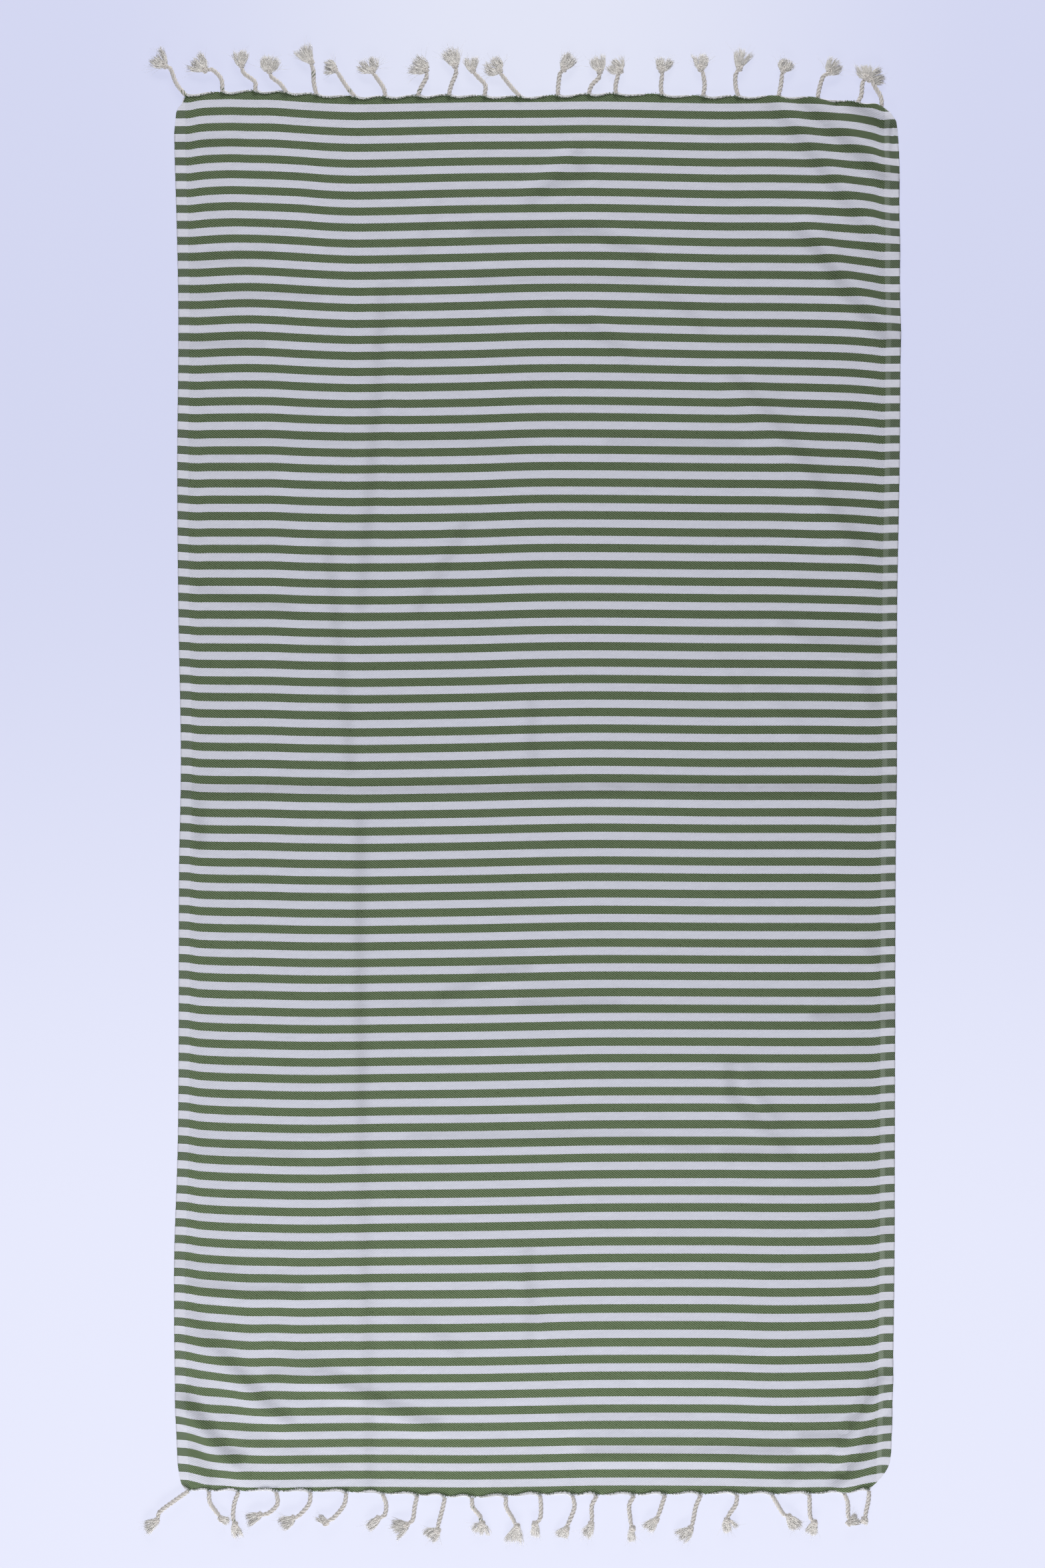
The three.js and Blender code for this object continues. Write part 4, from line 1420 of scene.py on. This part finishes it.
# %% Far and near fringe
for end in (FAR, NEAR):
    made = make_fringe(end)
    for piece, finish in made:
        piece.data.materials.append(finish)
        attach(piece, "root")
        piece.data.calc_loop_triangles()
        print(piece.name, "has", len(piece.data.loop_triangles), "triangles")
    end["pieces"] = [piece for piece, _ in made]
    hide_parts(f"fringe_{end['name']}")

# %% [markdown]
# The cloth lies on the floor as one flat sheet, and its size as it comes off the loom gives its
# area. The fringe goes with it wherever it is carried.

# %% Area of the cloth
print("sheet of", round(CLOTH_WIDTH * CLOTH_LENGTH, 3), "square metres")

# %% [markdown]
# ## Floor and light
#
# The towel lies on a pale floor with a painted glow, like a light table, so that the cords throw
# hardly any shadow. The painted glow is palest towards the near end, and in a soft pool of painted
# light beyond the far end.


# %% Floor
FLOOR_HALF = 4.0
FLOOR_Z = -0.3 * MM
FLOOR_COLOUR = (0.12, 0.12, 0.12, 1)
FAR_GLOW = (0.565, 0.59, 0.79, 1)
NEAR_GLOW = (0.70, 0.72, 0.88, 1)
PATCH_GLOW = (0.76, 0.78, 0.86, 1)
PATCH_Y = 1.0
PATCH_SHARE = 0.5


def make_floor():
    """A plain matt floor, much larger than the picture, with a painted glow that is stronger towards the
    near end.
    """
    half = FLOOR_HALF
    points = [(x, y, FLOOR_Z) for x, y in ((-half, -half), (half, -half), (half, half), (-half, half))]
    floor = new_piece("floor", points, [(0, 1, 2, 3)], [(x, y) for x, y, _ in points])
    material, tree, shader, u, v = new_finish("pale_floor")
    shader.inputs["Base Color"].default_value = FLOOR_COLOUR
    shader.inputs["Roughness"].default_value = 0.9
    shader.inputs["Specular IOR Level"].default_value = 0.1
    even = blend(tree, soft_step(tree, v, 0.5, -0.6), FAR_GLOW, NEAR_GLOW)
    # A soft pool of painted light beyond the far end.
    past = calc(tree, "SUBTRACT", v, PATCH_Y)
    from_patch = calc(tree, "SQRT", calc(tree, "MULTIPLY_ADD", past, past, calc(tree, "MULTIPLY", u, u)))
    patch = calc(tree, "MULTIPLY", soft_step(tree, from_patch, 0.6, 0.05), PATCH_SHARE)
    tree.links.new(blend(tree, patch, even, PATCH_GLOW), shader.inputs["Emission Color"])
    shader.inputs["Emission Strength"].default_value = 1
    floor.data.materials.append(material)
    return floor


floor = make_floor()
print("floor", round(floor.dimensions.x, 1), "m square")

# %% [markdown]
# A wide lamp stands low beyond each end and brings out the creases there, because light that grazes
# the cloth darkens the far side of every ridge. A third, larger one hangs over the near half, a
# little to the left, and the sky adds a little light from everywhere.


# %% Lights
def lamp(name, place, target, size, power, colour):
    """A soft rectangular lamp that faces a target."""
    light = bpy.data.lights.new(name, "AREA")
    light.shape = "RECTANGLE"
    light.size, light.size_y = size
    light.energy = power
    light.color = colour
    holder = bpy.data.objects.new(name, light)
    holder.location = place
    away = np.array(place) - np.array(target)
    flat = math.hypot(away[0], away[1])
    holder.rotation_euler = (math.atan2(flat, away[2]), 0, math.atan2(away[0], -away[1]))
    bpy.context.scene.collection.objects.link(holder)


LOW_LAMP = (2.2, 0.7)
HIGH_LAMP = (2.4, 1.6)
WARM_WHITE = (1.0, 0.99, 0.98)
COOL_WHITE = (0.97, 0.98, 1.0)
lamp("far_lamp", (0, 3.4, 1.2), (0, 0.7, 0), LOW_LAMP, 75, WARM_WHITE)
lamp("near_lamp", (0, -3.4, 1.2), (0, -0.7, 0), LOW_LAMP, 82, WARM_WHITE)
lamp("overhead_lamp", (-0.55, -0.7, 3.1), (-0.45, -0.55, 0), HIGH_LAMP, 43, COOL_WHITE)
print([f"{light.name} {light.energy:.0f} W" for light in bpy.data.lights])

# %% Sky
SKY_COLOUR = (0.92, 0.945, 1.0, 1)
SKY_STRENGTH = 0.04
world = bpy.data.worlds.new("soft_sky")
world.use_nodes = True
background = world.node_tree.nodes["Background"]
background.inputs["Color"].default_value = SKY_COLOUR
background.inputs["Strength"].default_value = SKY_STRENGTH
bpy.context.scene.world = world
bpy.context.scene.view_settings.view_transform = "Standard"
print("sky strength", SKY_STRENGTH)
